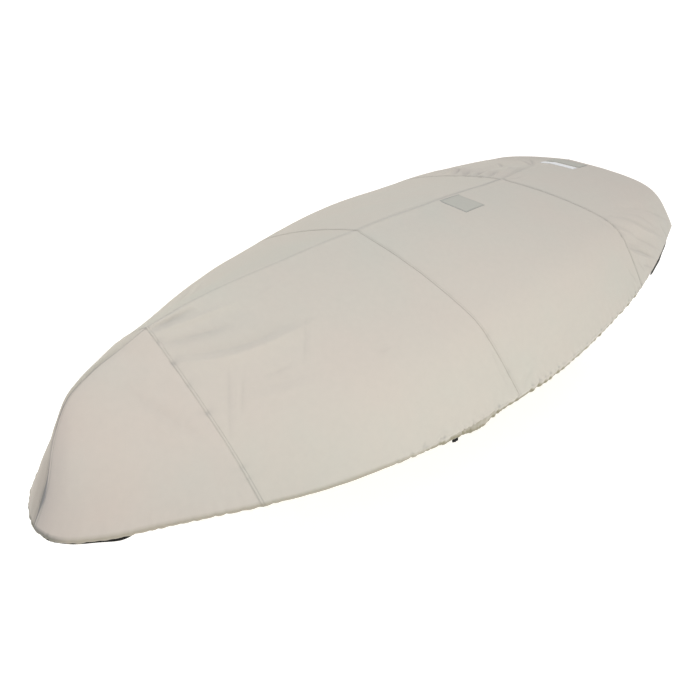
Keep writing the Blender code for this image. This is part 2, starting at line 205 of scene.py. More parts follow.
def hem_inwards(x, side):
    """Direction in plan from the widest line towards the middle of the boat."""
    curve = HEM_CURVES[side]
    i = int(np.clip(np.searchsorted(curve[:, 0], x), 1, len(curve) - 2))
    run = curve[i + 1] - curve[i - 1]
    return unit((run[1], -side * run[0], 0.0))


def sag_at(x, side):
    """How far the hem hangs below the widest line."""
    return np.maximum(through(SAG, x, SIDE_COLUMN[side]), 0)


def softened(y, centre, radius):
    """0 before the centre and the distance from it beyond, rounded between them."""
    return radius * np.logaddexp(0, (y - centre) / radius)


def side_height(x, y, side):
    """Height of the cloth at distances from the ridge, on one side of the boat."""
    columns = (3, 4, 5, 6) if side == STARBOARD else (1, 2, 5, 6)
    slope, crown, shoulder, radius = (through(SECTIONS, x, column) for column in columns)
    width = half_width(x, side)
    bend = softened(y, shoulder, radius) - softened(0.0, shoulder, radius)
    full_bend = softened(width, shoulder, radius) - softened(0.0, shoulder, radius)
    ridge = through(RIDGE, x)
    steepness = (ridge - HEM_Z - slope * width - crown * width**2) / full_bend
    return ridge - slope * y - crown * y**2 - steepness * bend


def place(x, y):
    """Points of the smooth cloth over places in plan, between the front seam and the transom."""
    x, y = np.broadcast_arrays(np.asarray(x, float), np.asarray(y, float))
    z = np.where(y > 0, side_height(x, abs(y), STARBOARD), side_height(x, abs(y), PORT))
    return np.stack([x, y, z], -1)


def section(x, side):
    """One side of a section: distances from the ridge in plan, and along the cloth."""
    plan = np.linspace(0, half_width(x, side), SECTION_POINTS)
    return plan, lengths(np.column_stack([plan, side_height(x, plan, side)]))


# ---- relief ----
# Creases on the panels between the front seam and the transom: height (a trough where negative), width on the left
# of the line and on its right, and the line's places in plan.
CREASES = metres((
    # beside the ridge at the front seam
    (-9, 8, 14, (-1262, -8), (-1200, -13), (-1120, -19), (-1040, -24)),
    (7.5, 12, 14, (-1262, -24), (-1172, -38), (-1092, -53), (-1000, -66), (-860, -84)),
    (-7.5, 14, 20, (-1262, -60), (-1200, -78), (-1120, -100), (-1040, -124), (-940, -145)),
    # over the edge of the deck, from the front seam
    (8, 10, 30, (-1262, -126), (-1140, -190), (-1030, -234), (-836, -282), (-611, -307)),
    (-9, 40, 14, (-1256, -104), (-1150, -158), (-960, -230), (-700, -268)),
    # where the folded cloth was pressed
    (-3.2, 6, 6, (-1082, -238), (-1163, -319), (-1246, -400)),
    (2.2, 12, 12, (-1060, -262), (-1130, -325), (-1200, -395)),
    (-3, 6, 6, (-1048, -287), (-1097, -327), (-1160, -378)),
    (-2.6, 7, 7, (-670, -270), (-739, -329), (-836, -406)),
    (2.8, 8, 10, (-650, -290), (-715, -340), (-800, -405)),
    (-3, 10, 7, (-855, -378), (-929, -364), (-1000, -340)),
    (2.4, 8, 18, (-1125, -348), (-1052, -382), (-969, -420), (-845, -475)),
    (-2.4, 22, 10, (-1110, -328), (-1040, -362), (-955, -400), (-820, -452)),
    (2, 6, 6, (-560, -522), (-515, -552), (-474, -578)),
    (2, 6, 6, (-560, -576), (-508, -572), (-450, -582)),
    (1.8, 6, 6, (-562, -540), (-500, -560), (-448, -566)),
    (-2.2, 7, 7, (-545, -552), (-505, -566), (-455, -574)),
    (1.8, 10, 12, (-820, -104), (-669, -95), (-500, -82)),
    # beside the middle seam
    (3.4, 7, 10, (-8, -770), (-24, -880), (-30, -985)),
    (-2.6, 7, 7, (-14, -790), (-36, -890), (-46, -985)),
    (2.2, 6, 8, (-30, -900), (-70, -985)),
    (2.6, 6, 8, (24, -770), (34, -850), (40, -900)),
    (2, 8, 8, (20, -975), (80, -955), (150, -950)),
    (-2, 8, 8, (30, -990), (100, -972), (180, -968)),
    # long pleats low on the side, behind the front seam
    (1.6, 14, 14, (-1200, -572), (-1101, -566), (-1000, -572)),
    (1.6, 14, 14, (-1150, -600), (-1048, -595), (-950, -606)),
    # from the stern seam to the stern
    (-6, 30, 40, (1468, -690), (1476, -780), (1484, -860)),
    (-5, 8, 12, (1545, -700), (1656, -748), (1740, -797), (1868, -845), (2133, -890), (2360, -922)),
    (4, 10, 16, (1560, -725), (1700, -795), (1868, -862), (2133, -905), (2340, -935)),
    (-5, 8, 10, (1532, -780), (1580, -815), (1650, -848), (1730, -872)),
    (-4, 8, 10, (1534, -830), (1570, -850), (1610, -862)),
    (-7.5, 8, 12, (1528, -894), (1608, -923), (1718, -938), (1824, -959), (1985, -985)),
    (6, 12, 14, (1540, -870), (1650, -908), (1780, -930), (1930, -962)),
    (-4.5, 7, 9, (1540, -888), (1678, -921), (1760, -938)),
    (5, 10, 12, (1545, -912), (1640, -945), (1780, -966), (1930, -992)),
    (-6, 7, 10, (1670, -984), (1760, -996), (1850, -1010)),
    (-3.5, 8, 10, (1600, -960), (1630, -985), (1670, -1005)),
    (-3.5, 8, 10, (2180, -785), (2283, -802), (2508, -835), (2670, -852)),
    (-3.5, 8, 10, (1850, -770), (1947, -810), (2093, -858), (2280, -885)),
    (-4, 8, 10, (1640, -850), (1731, -885), (1925, -924), (2130, -962)),
    (3.5, 10, 12, (1640, -865), (1760, -905), (1925, -940), (2080, -965)),
    (-4, 12, 12, (2370, -860), (2397, -882), (2450, -925)),
    (3, 14, 16, (1600, -680), (1850, -740), (2200, -810), (2500, -855)),
    (-4, 8, 8, (1410, -968), (1440, -990), (1470, -1020)),
    (2.4, 10, 10, (1930, -522), (2010, -512), (2090, -524)),
    (2, 10, 10, (1700, -560), (1800, -575), (1930, -570)),
    (-4, 12, 12, (1540, -30), (1640, -60), (1780, -80)),
    # crumpled cloth beside the ridge, to starboard of the stern seam
    (12.8, 16, 20, (1580, 395), (1700, 440), (1880, 540)),
    (-10.5, 16, 16, (1570, 370), (1700, 405), (1860, 490)),
    (12.8, 16, 20, (1580, 340), (1700, 385), (1850, 450)),
    (-11.2, 16, 18, (1550, 285), (1680, 330), (1820, 370)),
    (13.5, 14, 20, (1540, 228), (1660, 255), (1810, 298)),
    (-10.5, 14, 16, (1530, 185), (1660, 215), (1810, 250)),
    (12, 14, 18, (1530, 140), (1660, 165), (1810, 200)),
    (-9.7, 14, 16, (1530, 98), (1680, 125), (1830, 150)),
    (10.5, 14, 16, (1540, 60), (1680, 82), (1820, 108)),
    (-10, 12, 16, (1490, 6), (1720, 22), (1950, 44), (2200, 64)),
    (9, 14, 16, (1690, 60), (1860, 100), (2040, 152)),
    (7.5, 12, 14, (1730, 26), (1880, 55), (2020, 86)),
    (-7.5, 10, 12, (1990, 212), (2090, 270), (2200, 350)),
    (7.5, 12, 12, (1940, 205), (2040, 265), (2140, 350)),
    (-9, 10, 12, (2150, 50), (2260, 130), (2360, 215), (2480, 330)),
    (-7.5, 10, 12, (2170, 50), (2330, 130), (2530, 245)),
    (6, 16, 16, (2150, 75), (2300, 185), (2430, 320)),
    (-6, 16, 16, (1560, 480), (1800, 540), (2050, 640)),
    # on the far side of the bow
    (6, 22, 22, (-900, 190), (-760, 320), (-620, 450)),
    (-5, 22, 22, (-960, 220), (-820, 360), (-660, 500)),
))
CREASE_REACH = 3.2  # widths beyond which a crease is left out
CREASE_ENDS, CREASE_CREST = 0.7, 1.5  # exponents of its height along it and across it
CREASE_SHADE, SHADED_WIDTH = 24.0, 0.010  # painted shade in the trough for each metre of depth, and the width up to which it is in full
# The same on the port bow panel, with shares from the seam to the stem and levels from the ridge to the hem.
BOW_CREASES = (
    (-0.0050, 0.022, 0.026, (0.640, 0.325), (0.500, 0.385), (0.300, 0.480), (0.080, 0.640)),
    (0.0030, 0.020, 0.030, (0.560, 0.430), (0.380, 0.520), (0.150, 0.680)),
    (0.0030, 0.020, 0.030, (0.880, 0.500), (0.870, 0.650), (0.860, 0.850)),
)
# Unevenness of all cloth: height, size, seed, least share of it at the hem.
WAVES = ((0.0022, 0.34, 1, 0.3), (0.0010, 0.12, 4, 0.3), (0.00025, 0.035, 6, 1))
CALM_HEIGHT = 0.05  # above the hem, from where it is in full
WARM_LIGHT_Z, WARM_LIGHT_SPREAD = -0.24, 0.13  # height of a painted warm light, where the cloth looks a little pinker


def folds(points):
    """Height of the main folds at points of the smooth cloth; they fade out at the hem."""
    x, y = points[:, 0], points[:, 1]
    total = np.zeros(len(points))
    for x0, y0, x1, y1, rise, width in FOLDS:
        run = np.array((x1 - x0, y1 - y0))
        share = ((x - x0) * run[0] + (y - y0) * run[1]) / (run @ run)
        away = abs(run[0] * (y - y0) - run[1] * (x - x0)) / math.hypot(*run)
        total += rise * np.sin(math.pi * np.clip(share, 0, 1)) * bell(away, width)
    width = np.where(y > 0, half_width(x, STARBOARD), half_width(x, PORT))
    return total * np.clip((width - abs(y)) / FOLD_FADE, 0, 1)


def crease(points, line, normal, rise, left, right):
    """Height of one crease along a line at the points: full in its middle, and gone at its ends."""
    reach = CREASE_REACH * max(left, right)
    low, high = line.min(0) - reach, line.max(0) + reach
    near = np.flatnonzero(((points > low) & (points < high)).all(1))
    best = np.full(len(near), np.inf)
    side = np.zeros(len(near))
    share = np.zeros(len(near))
    steps = len(line) - 1
    for k in range(steps):
        run = line[k + 1] - line[k]
        offset = points[near] - line[k]
        t = np.clip(offset @ run / (run @ run), 0, 1)
        away = offset - t[:, None] * run
        distance = np.linalg.norm(away, axis=1)
        closer = distance < best
        best[closer] = distance[closer]
        side[closer] = (away @ np.cross(normal, run))[closer]
        share[closer] = ((k + t) / steps)[closer]
    width = np.where(side > 0, left, right)
    found = np.zeros(len(points))
    found[near] = rise * np.sin(math.pi * share) ** CREASE_ENDS * np.exp(-((best / width) ** CREASE_CREST))
    return found


def panel_crease(points, rise, left, right, *places):
    """Height of a crease of the other panels at the points."""
    plan = line_through(places)
    x, y = plan[LINE_POINTS // 2]
    d = 0.004
    along = place(x + d, y) - place(x - d, y)
    aside = place(x, y + d) - place(x, y - d)
    return crease(points, place(*plan.T), unit(np.cross(along, aside)), rise, left, right)


def waves(points, size, seed):
    """Smooth unevenness between -1 and 1 at about the given size."""
    shift = Vector((seed * 3.7, seed * 1.3, seed * 2.1))
    return np.array([noise.noise(Vector(p) / size + shift) for p in points.tolist()])


def plane_waves(u, u_size, v, v_size, seed):
    """The same over two coordinates, with a size along each."""
    return waves(np.column_stack([u / u_size, v / v_size, 0 * v]), 1.0, seed)


# Gathers of the hem: x, distance between pinches, depth, to port and to starboard.
GATHERS = metres((
    (-1863, 34, 3, 34, 3),
    (-1600, 40, 3, 40, 3),
    (-1300, 50, 2.6, 50, 2.6),
    (-1100, 90, 1.2, 70, 2),
    (-750, 90, 1, 60, 2.5),
    (-620, 50, 3, 50, 3),
    (-450, 34, 5.5, 45, 3.5),
    (-120, 34, 5.5, 45, 3.5),
    (50, 60, 2.5, 50, 3),
    (200, 42, 4.2, 45, 4),
    (800, 50, 4.2, 50, 4),
    (1300, 45, 4.2, 50, 4),
    (1560, 70, 2.5, 60, 3),
    (2000, 90, 1.8, 70, 2.5),
    (2715, 70, 2.5, 60, 3),
))
GATHER_SEED = {PORT: 5, STARBOARD: 9}
STEP_RANGE, DEPTH_RANGE, PINCH_RANGE, REACH_RANGE = (0.55, 1.5), (0.4, 1.5), (0.2, 0.9), (0.7, 1.5)
# How much of the transom's hem the gathers' tables hold, and how much of it is gathered.
TRANSOM_HEM, GATHERED_TRANSOM = 0.2, 0.19
BULGE_FULLNESS, LIFT_SHARPNESS = 0.7, 3
# Deeper notches of the port hem: place along it and depth.
NOTCHES = metres((
    (1441, 2.6), (1518, 3.4), (1600, 2.6), (1700, 3.4), (2054, 5), (2310, 4), (2374, 3.4), (2420, 2.8), (2460, 4),
    (2541, 4.4), (2590, 2.6), (2700, 3), (2850, 3.4), (2960, 2.6), (3038, 5), (3110, 2.6), (3200, 3), (3279, 4.6),
    (3380, 3), (3479, 5), (3539, 4.4), (3612, 5.2), (3690, 3.4), (3754, 5), (3900, 3.4),
))
NOTCH_WIDTH, NOTCH_REACH = 0.007, 0.028  # along the hem, and upwards
BULGE_AT, BULGE_WIDTH, BULGE_REACH = 0.020, 0.011, 0.022  # the bulge behind a notch
NOTCH_LIFT, BULGE_SHARE = 0.8, 0.7  # shares of its depth
GATHER_SHADE, NOTCH_SHADE = 30.0, 95.0  # painted shade in a pinch and in a notch, for each metre of depth
NOTCH_SHADE_REACH = 0.012
# Folds low on the port side: height, width, and places along the hem and above it.
HEM_FOLDS = metres((
    (-6, 5, (1568, -12), (1584, 6), (1606, 26)),
    (-6, 6, (1625, -16), (1655, -4), (1690, 2), (1735, -10)),
    (5, 9, (1630, -2), (1660, 10), (1695, 16), (1740, 4)),
    (-5, 5, (1690, 2), (1672, -14), (1655, -26)),
    (-6, 5, (1735, -8), (1748, -20), (1756, -34)),
    (-11, 6, (1780, -18), (1850, -24), (1930, -26), (2012, -22), (2050, -12)),
    (5, 9, (1790, -8), (1850, -13), (1930, -14), (2012, -10)),
    (-5, 5, (1835, -40), (1880, -43), (1930, -46), (2000, -40)),
    (-4, 4, (1460, -10), (1475, 10)),
    (-4, 4, (2070, -12), (2110, -6), (2150, -12)),
))
EDGE = 0.014  # height above the turned edge up to which its painted shade reaches
TURNED_SHADE, UNDER_SHADE, FLAP_SHADE = 0.62, 0.3, 0.46  # painted shade of the turned hem, its underside and a hanging flap
PLEAT_DEPTH, PLEAT_DRIFT, PLEAT_WIDTH, PLEAT_HEIGHT = 0.0020, 0.6, 0.016, 0.060  # of a hanging flap
BOW_SHADE, STERN_SHADE, NOSE_SHADE = 0.06, 0.14, 1.2  # painted shade low on the bow, at the far end of the stern, under the nose


def gather_table(side):
    """Pinches of the hem: place along it, depth there, height of the bulge up to the next one, reach upwards."""
    draw = np.random.default_rng(GATHER_SEED[side])
    columns = (1, 2) if side == PORT else (3, 4)
    rows, at = [], 0.0
    while at < HEM_LENGTHS[side][-1] + TRANSOM_HEM:
        x = np.interp(at, HEM_LENGTHS[side], HEM_CURVES[side][:, 0])
        step = through(GATHERS, x, columns[0]) * draw.uniform(*STEP_RANGE)
        depth = through(GATHERS, x, columns[1]) * draw.uniform(*DEPTH_RANGE)
        rows.append((at, depth * draw.uniform(*PINCH_RANGE), depth, step * draw.uniform(*REACH_RANGE)))
        at += step
    return np.array(rows)


GATHER_TABLES = {side: gather_table(side) for side in (PORT, STARBOARD)}


def gathers(at, above, side):
    """Outward height of the gathered hem, and how far it is pulled up, by place along it and height above it."""
    table = GATHER_TABLES[side]
    k = np.clip(np.searchsorted(table[:, 0], at) - 1, 0, len(table) - 2)
    phase = np.clip((at - table[k, 0]) / (table[k + 1, 0] - table[k, 0]), 0, 1)
    pinch, reach = (table[k, j] * (1 - phase) + table[k + 1, j] * phase for j in (1, 3))
    bulge = table[k, 2] * np.sin(math.pi * phase) ** BULGE_FULLNESS
    fade = np.exp(-np.maximum(above, 0) / reach)
    lift = pinch * (1 - np.sin(math.pi * phase)) ** LIFT_SHARPNESS
    return (bulge - pinch) * fade, lift * fade


# ---- meshes ----
def new_mesh(name, points, faces, fields, material):
    mesh = bpy.data.meshes.new(name)
    mesh.from_pydata(np.asarray(points).tolist(), [], [list(map(int, face)) for face in faces])
    mesh.polygons.foreach_set("use_smooth", np.ones(len(mesh.polygons), bool))
    for key, values in (fields or {}).items():
        kind, item = ("FLOAT_VECTOR", "vector") if values.ndim == 2 else ("FLOAT", "value")
        mesh.attributes.new(key, kind, "POINT").data.foreach_set(item, values.ravel())
    mesh.materials.append(material)
    mesh.update()
    made = bpy.data.objects.new(name, mesh)
    bpy.context.scene.collection.objects.link(made)
    return made


def thicken(piece, thickness=SHEET):
    solid = piece.modifiers.new("thickness", "SOLIDIFY")
    solid.thickness = thickness
    solid.offset = -1.0
    solid.use_even_offset = False
    return piece


def grid_faces(rows, columns, first=0):
    """Squares between the points of a grid, which start at the first."""
    i = np.arange(rows - 1)[:, None] * columns + np.arange(columns - 1)[None]
    i = i.ravel() + first
    return np.stack([i, i + columns, i + columns + 1, i + 1], 1)


def grid_normals(grid):
    """Outward directions of a grid whose rows run aft and whose columns run from port to starboard."""
    return unit(np.cross(np.gradient(grid, axis=0), np.gradient(grid, axis=1)))


def welded(points, faces, fields):
    """The mesh without doubled points and without faces that have no area."""
    _, first, inverse = np.unique(np.round(points, 6), axis=0, return_index=True, return_inverse=True)
    out = []
    for face in inverse.ravel()[faces].tolist():
        kept = [v for k, v in enumerate(face) if v != face[k - 1]]
        if len(set(kept)) == len(kept) > 2:
            out.append(kept)
    return points[first], out, {key: values[first] for key, values in fields.items()}


class Cloth:
    """A grid of points on the smooth cloth with what its relief needs at each of them."""

    def __init__(self, grid, along, across, above, hem, drop, side):
        """Takes places along the boat, from the ridge, above the hem and along it, depth under the next cloth, side."""
        self.grid, self.shape = grid, grid.shape[:2]
        self.points = grid.reshape(-1, 3)
        self.normal_grid = grid_normals(grid)
        self.normals = self.normal_grid.reshape(-1, 3)
        fields = (np.broadcast_to(field, self.shape).ravel() for field in (along, across, above, hem, drop, side))
        self.along, self.across, self.above, self.hem, self.drop, self.side = fields
        # soil holds painted shade in creases, pinches, seams, at the ridge, stem and hem, and the darker stitch lines;
        # shade holds painted shade in the hem's shade colour
        self.soil, self.shade, self.height, self.lift = np.zeros((4, len(self.points)))

    def add_crease(self, height, width):
        """A crease, with painted shade in its trough, most of all in a narrow one."""
        self.height += height
        self.soil += CREASE_SHADE * min(1.0, SHADED_WIDTH / width) * np.maximum(-height, 0)

    def add_waves(self):
        for height, size, seed, least in WAVES:
            self.height += height * np.clip(self.above / CALM_HEIGHT, least, 1) * waves(self.points, size, seed)

    def add_hem(self):
        """Gathers, notches and folds of the hem, and its painted shade."""
        port = self.side == PORT
        up = np.maximum(self.above, 0)
        for side in (PORT, STARBOARD):
            chosen = self.side == side
            out, lift = gathers(self.hem[chosen], self.above[chosen], side)
            self.height[chosen] += out
            self.lift[chosen] += lift
            # Painted shade in the pinches.
            self.soil[chosen] += GATHER_SHADE * lift * np.exp(-abs(self.above[chosen]) / EDGE)
        flat = np.column_stack([self.hem, self.above, 0 * self.hem])
        for rise, width, *places in HEM_FOLDS:
            line = np.pad(line_through(places), ((0, 0), (0, 1)))
            fold = crease(flat, line, np.array((0.0, 0.0, 1.0)), rise, width, width)
            self.add_crease(fold * port, width)
        for at, depth in NOTCHES:
            notch = port * bell(self.hem - at, NOTCH_WIDTH) * np.exp(-up / NOTCH_REACH)
            bulge = port * bell(self.hem - at - BULGE_AT, BULGE_WIDTH) * np.exp(-up / BULGE_REACH)
            self.height += depth * (BULGE_SHARE * bulge - notch)
            self.lift += NOTCH_LIFT * depth * notch
            # Painted shade in the notch.
            self.soil += NOTCH_SHADE * depth * notch * bell(self.above, NOTCH_SHADE_REACH)
        sag = np.where(port, sag_at(self.along, PORT), sag_at(self.along, STARBOARD))
        fallen = self.above + sag  # above the edge along which the cloth turns under
        # Painted shade of the turned hem and of its underside.
        self.shade += TURNED_SHADE * ramp(fallen, EDGE, -0.001) + UNDER_SHADE * ramp(fallen, -0.010, -0.022)
        # Painted shade low on the bow, at the far end of the stern and under the nose.
        self.soil += BOW_SHADE * ramp(self.above, 0.30, 0) * ramp(self.along, -0.7, -1.2)
        self.soil += STERN_SHADE * ramp(self.along, 2.30, 2.60) * ramp(self.across, -0.15, 0.05)
        self.soil += NOSE_SHADE * np.exp(-((self.hem / 0.14) ** 6)) * ramp(fallen, EDGE, 0)
        # Painted shade on a hanging flap, broken up by pleats.
        pleats = 1 + PLEAT_DRIFT * plane_waves(self.hem, PLEAT_WIDTH, self.above, PLEAT_HEIGHT, 14)
        flap = ramp(sag, 0, 0.04) * ramp(self.above, -EDGE, -0.024) * pleats
        self.shade += FLAP_SHADE * flap
        self.height -= PLEAT_DEPTH * flap

    def moved(self):
        """The grid with all its relief."""
        points = self.points + self.normals * (self.height - self.drop)[:, None]
        points[:, 2] += self.lift
        return points.reshape(*self.shape, 3)

    def fields(self):
        """What the cloth's material reads at each point."""
        cloth = np.column_stack([self.along, self.across, 0 * self.along])
        # A painted warm light, by height.
        blush = bell(self.points[:, 2] - WARM_LIGHT_Z, WARM_LIGHT_SPREAD)
        return {"soil": self.soil, "shade": self.shade, "blush": blush, "cloth": cloth}


def show(node, material, mesh, *cloths):
    """The shown piece for one of the panels."""
    piece = thicken(new_mesh(node + "_cloth", *mesh, material))
    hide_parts(node)
    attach(piece, "root")
    return piece


# ---- seams ----
# How far the crease strays from the ridge line, to starboard.
RIDGE_STRAY = metres((
    (-1300, 0), (-300, 0), (0, -14), (250, -24), (500, -35), (720, -36), (1050, -32), (1300, -26), (1530, -28),
    (1800, -10), (2000, 0), (2800, 0),
))
# Painted shade in the trough beside it: x, darkness.
RIDGE_TROUGH_SHADE = (
    (-1.300, 0.08), (-1.100, 0.25), (-0.900, 0.34), (-0.700, 0.30), (-0.400, 0.22), (-0.050, 0.17), (0.500, 0.14),
    (0.900, 0.24), (1.300, 0.34), (1.520, 0.36), (1.600, 0.20), (2.800, 0.08),
)
# Its size along the boat, against the heights below.
RIDGE_SIZE = ((-1.25, -1.1, -0.2, 0.05, 1.0, 1.5, 1.56, 2.7), (0.2, 0.5, 0.6, 1.0, 1.3, 1.5, 0.5, 0.2))
RIDGE_RISE, RIDGE_WIDTH = 0.0085, 0.018
TROUGH_DEPTH, TROUGH_AT, TROUGH_WIDTH = 0.0050, 0.015, 0.012
# Seams, with values at these heights above the hem: darkness of the stitched lines, partly painted shade of their
# grooves, painted shade over the whole lap, the lap's spread, relief.
SEAM_HEIGHTS = (0.0, 0.15, 0.35, 0.60, 0.90)
SEAMS = {
    FRONT_SEAM: ((0.22, 0.14, 0.06, 0.04, 0.08), (0.01, 0.01, 0.01, 0.01, 0.02), 0.013, (0.70, 0.60, 0.45, 0.40, 0.45)),
    MIDDLE_SEAM: ((0.04, 0.02, 0.02, 0.01, 0.01), (0.02, 0.01, 0.0, 0.01, 0.06), 0.013, (0.15, 0.20, 0.20, 0.08, 0.08)),
    STERN_SEAM: ((0.02, 0.02, 0.02, 0.02, 0.02), (0.03, 0.03, 0.04, 0.08, 0.14), 0.020, (0.15, 0.12, 0.12, 0.20, 0.22)),
}
LAP_HEIGHT, LAP_RISE, LAP_FALL = 0.0010, 0.003, 0.004  # and the lengths over which it rises and falls
STITCH_DEPTH, STITCH_DRIFT, STITCH_TROUGH = 0.0011, 0.0005, 0.0022  # mean depth, what it varies by, width
PUCKER_HEIGHT, PUCKER_AT, PUCKER_WIDTH = 0.0008, 0.012, 0.030
LINE_WIDTH, EDGE_WIDTH, EDGE_SHARE = 0.0018, 0.003, 0.35  # of the dark lines, and of the painted shade before the edge
LAP_AT, LAP_DRIFT, LAP_UNEVEN = 0.010, 0.006, 0.35  # middle of the lap's painted shade, and how much it varies
# Where a seam is pulled in: signed distance from the ridge, depth.
PULLS = (
    (FRONT_SEAM, metres(((-70, 3), (-170, 5.5), (-398, 4.5), (-270, 2), (-640, 2.2), (-690, 1.8), (240, 3), (460, 3)))),
    (MIDDLE_SEAM, metres(((-860, 2.2), (-1060, 2)))),
    (STERN_SEAM, metres(((-750, 2.6), (-820, 3), (-890, 3.4), (-960, 2.6), (140, 4), (230, 4), (330, 4)))),
)
PULL_AT, PULL_LENGTH, PULL_WIDTH, PULL_SPREAD = 0.006, 0.016, 0.010, 0.25  # aft of the seam; wider further away
PULL_SHADE = 60.0  # painted shade for each metre of depth


def ridge_pinch(cloth):
    """The cloth's crease over the ridge line, with a trough beside it that is painted in shade."""
    size = np.interp(cloth.along, *RIDGE_SIZE)
    across = cloth.across - through(RIDGE_STRAY, cloth.along)
    trough = bell(across - TROUGH_AT, TROUGH_WIDTH)
    cloth.height += size * RIDGE_RISE * np.exp(-abs(across) / RIDGE_WIDTH)
    cloth.height -= size * TROUGH_DEPTH * trough
    cloth.soil += through(RIDGE_TROUGH_SHADE, cloth.along) * trough


def seam_relief(across, aft):
    """Height of the cloth near a lapped seam, by the distance aft of the upper cloth's edge."""
    puckers = plane_waves(across, 0.022, aft, 0.08, 2)
    lap = 0.5 * (np.tanh((aft + 0.002) / LAP_RISE) - np.tanh((aft - LAP - 0.001) / LAP_FALL))
    found = LAP_HEIGHT * lap
    for row in STITCH_ROWS:
        found -= (STITCH_DEPTH + STITCH_DRIFT * puckers) * bell(aft - row, STITCH_TROUGH)
    return found + PUCKER_HEIGHT * puckers * bell(aft - PUCKER_AT, PUCKER_WIDTH)


def of_seam(cloth, values):
    """One of a seam's rows of values, by height above the hem."""
    return np.interp(cloth.above, SEAM_HEIGHTS, values)


def seam_shade(cloth, seam):
    """Darker cloth along a seam: its stitched lines, and painted shade in their grooves, before the edge and over the
    lap.
    """
    line_values, lap_values, spread, _ = SEAMS[seam]
    aft = cloth.along - seam
    upper = (cloth.drop == 0) & (aft > -0.001)
    drift = plane_waves(cloth.across, 0.05, 0 * aft, 1.0, 12)
    uneven = 1 + LAP_UNEVEN * drift
    lines = of_seam(cloth, line_values)
    cloth.soil += lines * sum(bell(aft - row, LINE_WIDTH) for row in STITCH_ROWS) * upper * uneven
    cloth.soil += EDGE_SHARE * lines * bell(aft, EDGE_WIDTH) * (aft < 0)
    cloth.soil += of_seam(cloth, lap_values) * bell(aft - LAP_AT - LAP_DRIFT * drift, spread) * uneven


def add_pulls(cloth):
    """Where single stitches draw a seam in, with painted shade in the dimple."""
    for seam, pulls in PULLS:
        aft = cloth.along - seam - PULL_AT
        for across, depth in pulls:
            near = bell(cloth.across - across, PULL_WIDTH + PULL_SPREAD * abs(aft)) * np.exp(-abs(aft) / PULL_LENGTH)
            cloth.height -= depth * near
            cloth.soil += PULL_SHADE * depth * near


def dress(cloth, seams):
    """Everything that shapes a panel between the front seam and the transom."""
    cloth.height += folds(cloth.points)
    for row in CREASES:
        cloth.add_crease(panel_crease(cloth.points, *row), max(row[1:3]))
    for seam in seams:
        cloth.height += of_seam(cloth, SEAMS[seam][-1]) * seam_relief(cloth.across, cloth.along - seam)
    for seam in SEAMS:
        seam_shade(cloth, seam)
    add_pulls(cloth)
    ridge_pinch(cloth)
    cloth.add_waves()
    cloth.add_hem()


# ---- panels between the front seam and the transom ----
def lip_points(edge, inwards, sag):
    """The turned-under hem: points evenly spaced from its edge, without the first, and their distances from it."""
    rows = np.array(LIP) + np.array([(0.0, 0.0)] + [(LIP_SLOPE * sag, sag)] * 3)
    knots = lengths(rows)
    curve = points_at(np.linspace(0, knots[-1], LIP_POINTS), knots, rows)
    kernel = np.hanning(LIP_SMOOTHING) / np.hanning(LIP_SMOOTHING).sum()
    half = LIP_SMOOTHING // 2
    padded = np.pad(curve, ((half, half), (0, 0)), mode="reflect", reflect_type="odd")
    curve = np.stack([np.convolve(padded[:, k], kernel, "valid") for k in (0, 1)], 1)
    arc = lengths(curve)
    at = np.linspace(0, arc[-1], LIP_CELLS + 1)[1:]
    inset, below = points_at(at, arc, curve).T[..., None]
    return edge + inset * inwards - below * np.array((0, 0, 1.0)), at


def side_columns(x, side):
    """Points of one side of a section from the ridge to the hem, and their distances along it."""
    plan, arc = section(x, side)
    share = np.linspace(0, 1, COLUMNS[side] + 1)
    at = arc[-1] * (share - CROWDING * np.sin(2 * math.pi * share) / (2 * math.pi))
    return place(x, side * np.interp(at, arc, plan)), at


def section_row(x, inwards=None):
    """A full row across the boat with both hems: points, signed distance from the ridge, height above the hem."""
    halves = []
    for side in (PORT, STARBOARD):
        points, arc = side_columns(x, side)
        direction = hem_inwards(x, side) if inwards is None else inwards[side]
        lip, at = lip_points(points[-1], direction, sag_at(x, side))
        halves.append((np.vstack([points, lip]), side * np.append(arc, arc[-1] + at), np.append(arc[-1] - arc, -at)))
    return [np.concatenate([port[::-1], starboard[1:]]) for port, starboard in zip(*halves)]


ROW_SIDES = np.repeat((PORT, STARBOARD), (COLUMNS[PORT] + LIP_CELLS + 1, COLUMNS[STARBOARD] + LIP_CELLS))


def panel_places(start, end, lapped_under):
    """Rows of a panel along X with their drops under the next panel."""
    close = SEAM_ROWS[-1]
    count = round((end - start - 2 * close) / CELL)
    even = [*(start + d for d in SEAM_ROWS), *np.linspace(start + close, end - close, count + 1)[1:]]
    if lapped_under:
        return [(x, 0.0) for x in even] + [(end + d, UNDER * share) for d, share in LAP_ROWS]
    return [(x, 0.0) for x in (*even, *np.linspace(end - close, end, 4)[1:])]


def cross_cloth(places, corners=None):
    """The cloth over rows along X; at the last one the hem may be turned towards corners."""
    rows = [section_row(x) for x, _ in places[:-1]] + [section_row(places[-1][0], corners)]
    grid, across, above = (np.array(found) for found in zip(*rows))
    x, drop = np.array(places).T[..., None]
    hem = np.where(ROW_SIDES == PORT, hem_length(x, PORT), hem_length(x, STARBOARD))
    return Cloth(grid, x, across, above, hem, drop, ROW_SIDES)


def rows_near(cloth, places, seam):
    """Stitched rows of a panel as lines of points and normals on its finished surface."""
    points = cloth.moved()
    normals = grid_normals(points)
    xs = np.array([x for x, _ in places])
    rows = [int(np.argmin(abs(xs - seam - offset))) for offset in STITCH_ROWS]
    return [(points[i], normals[i]) for i in rows]


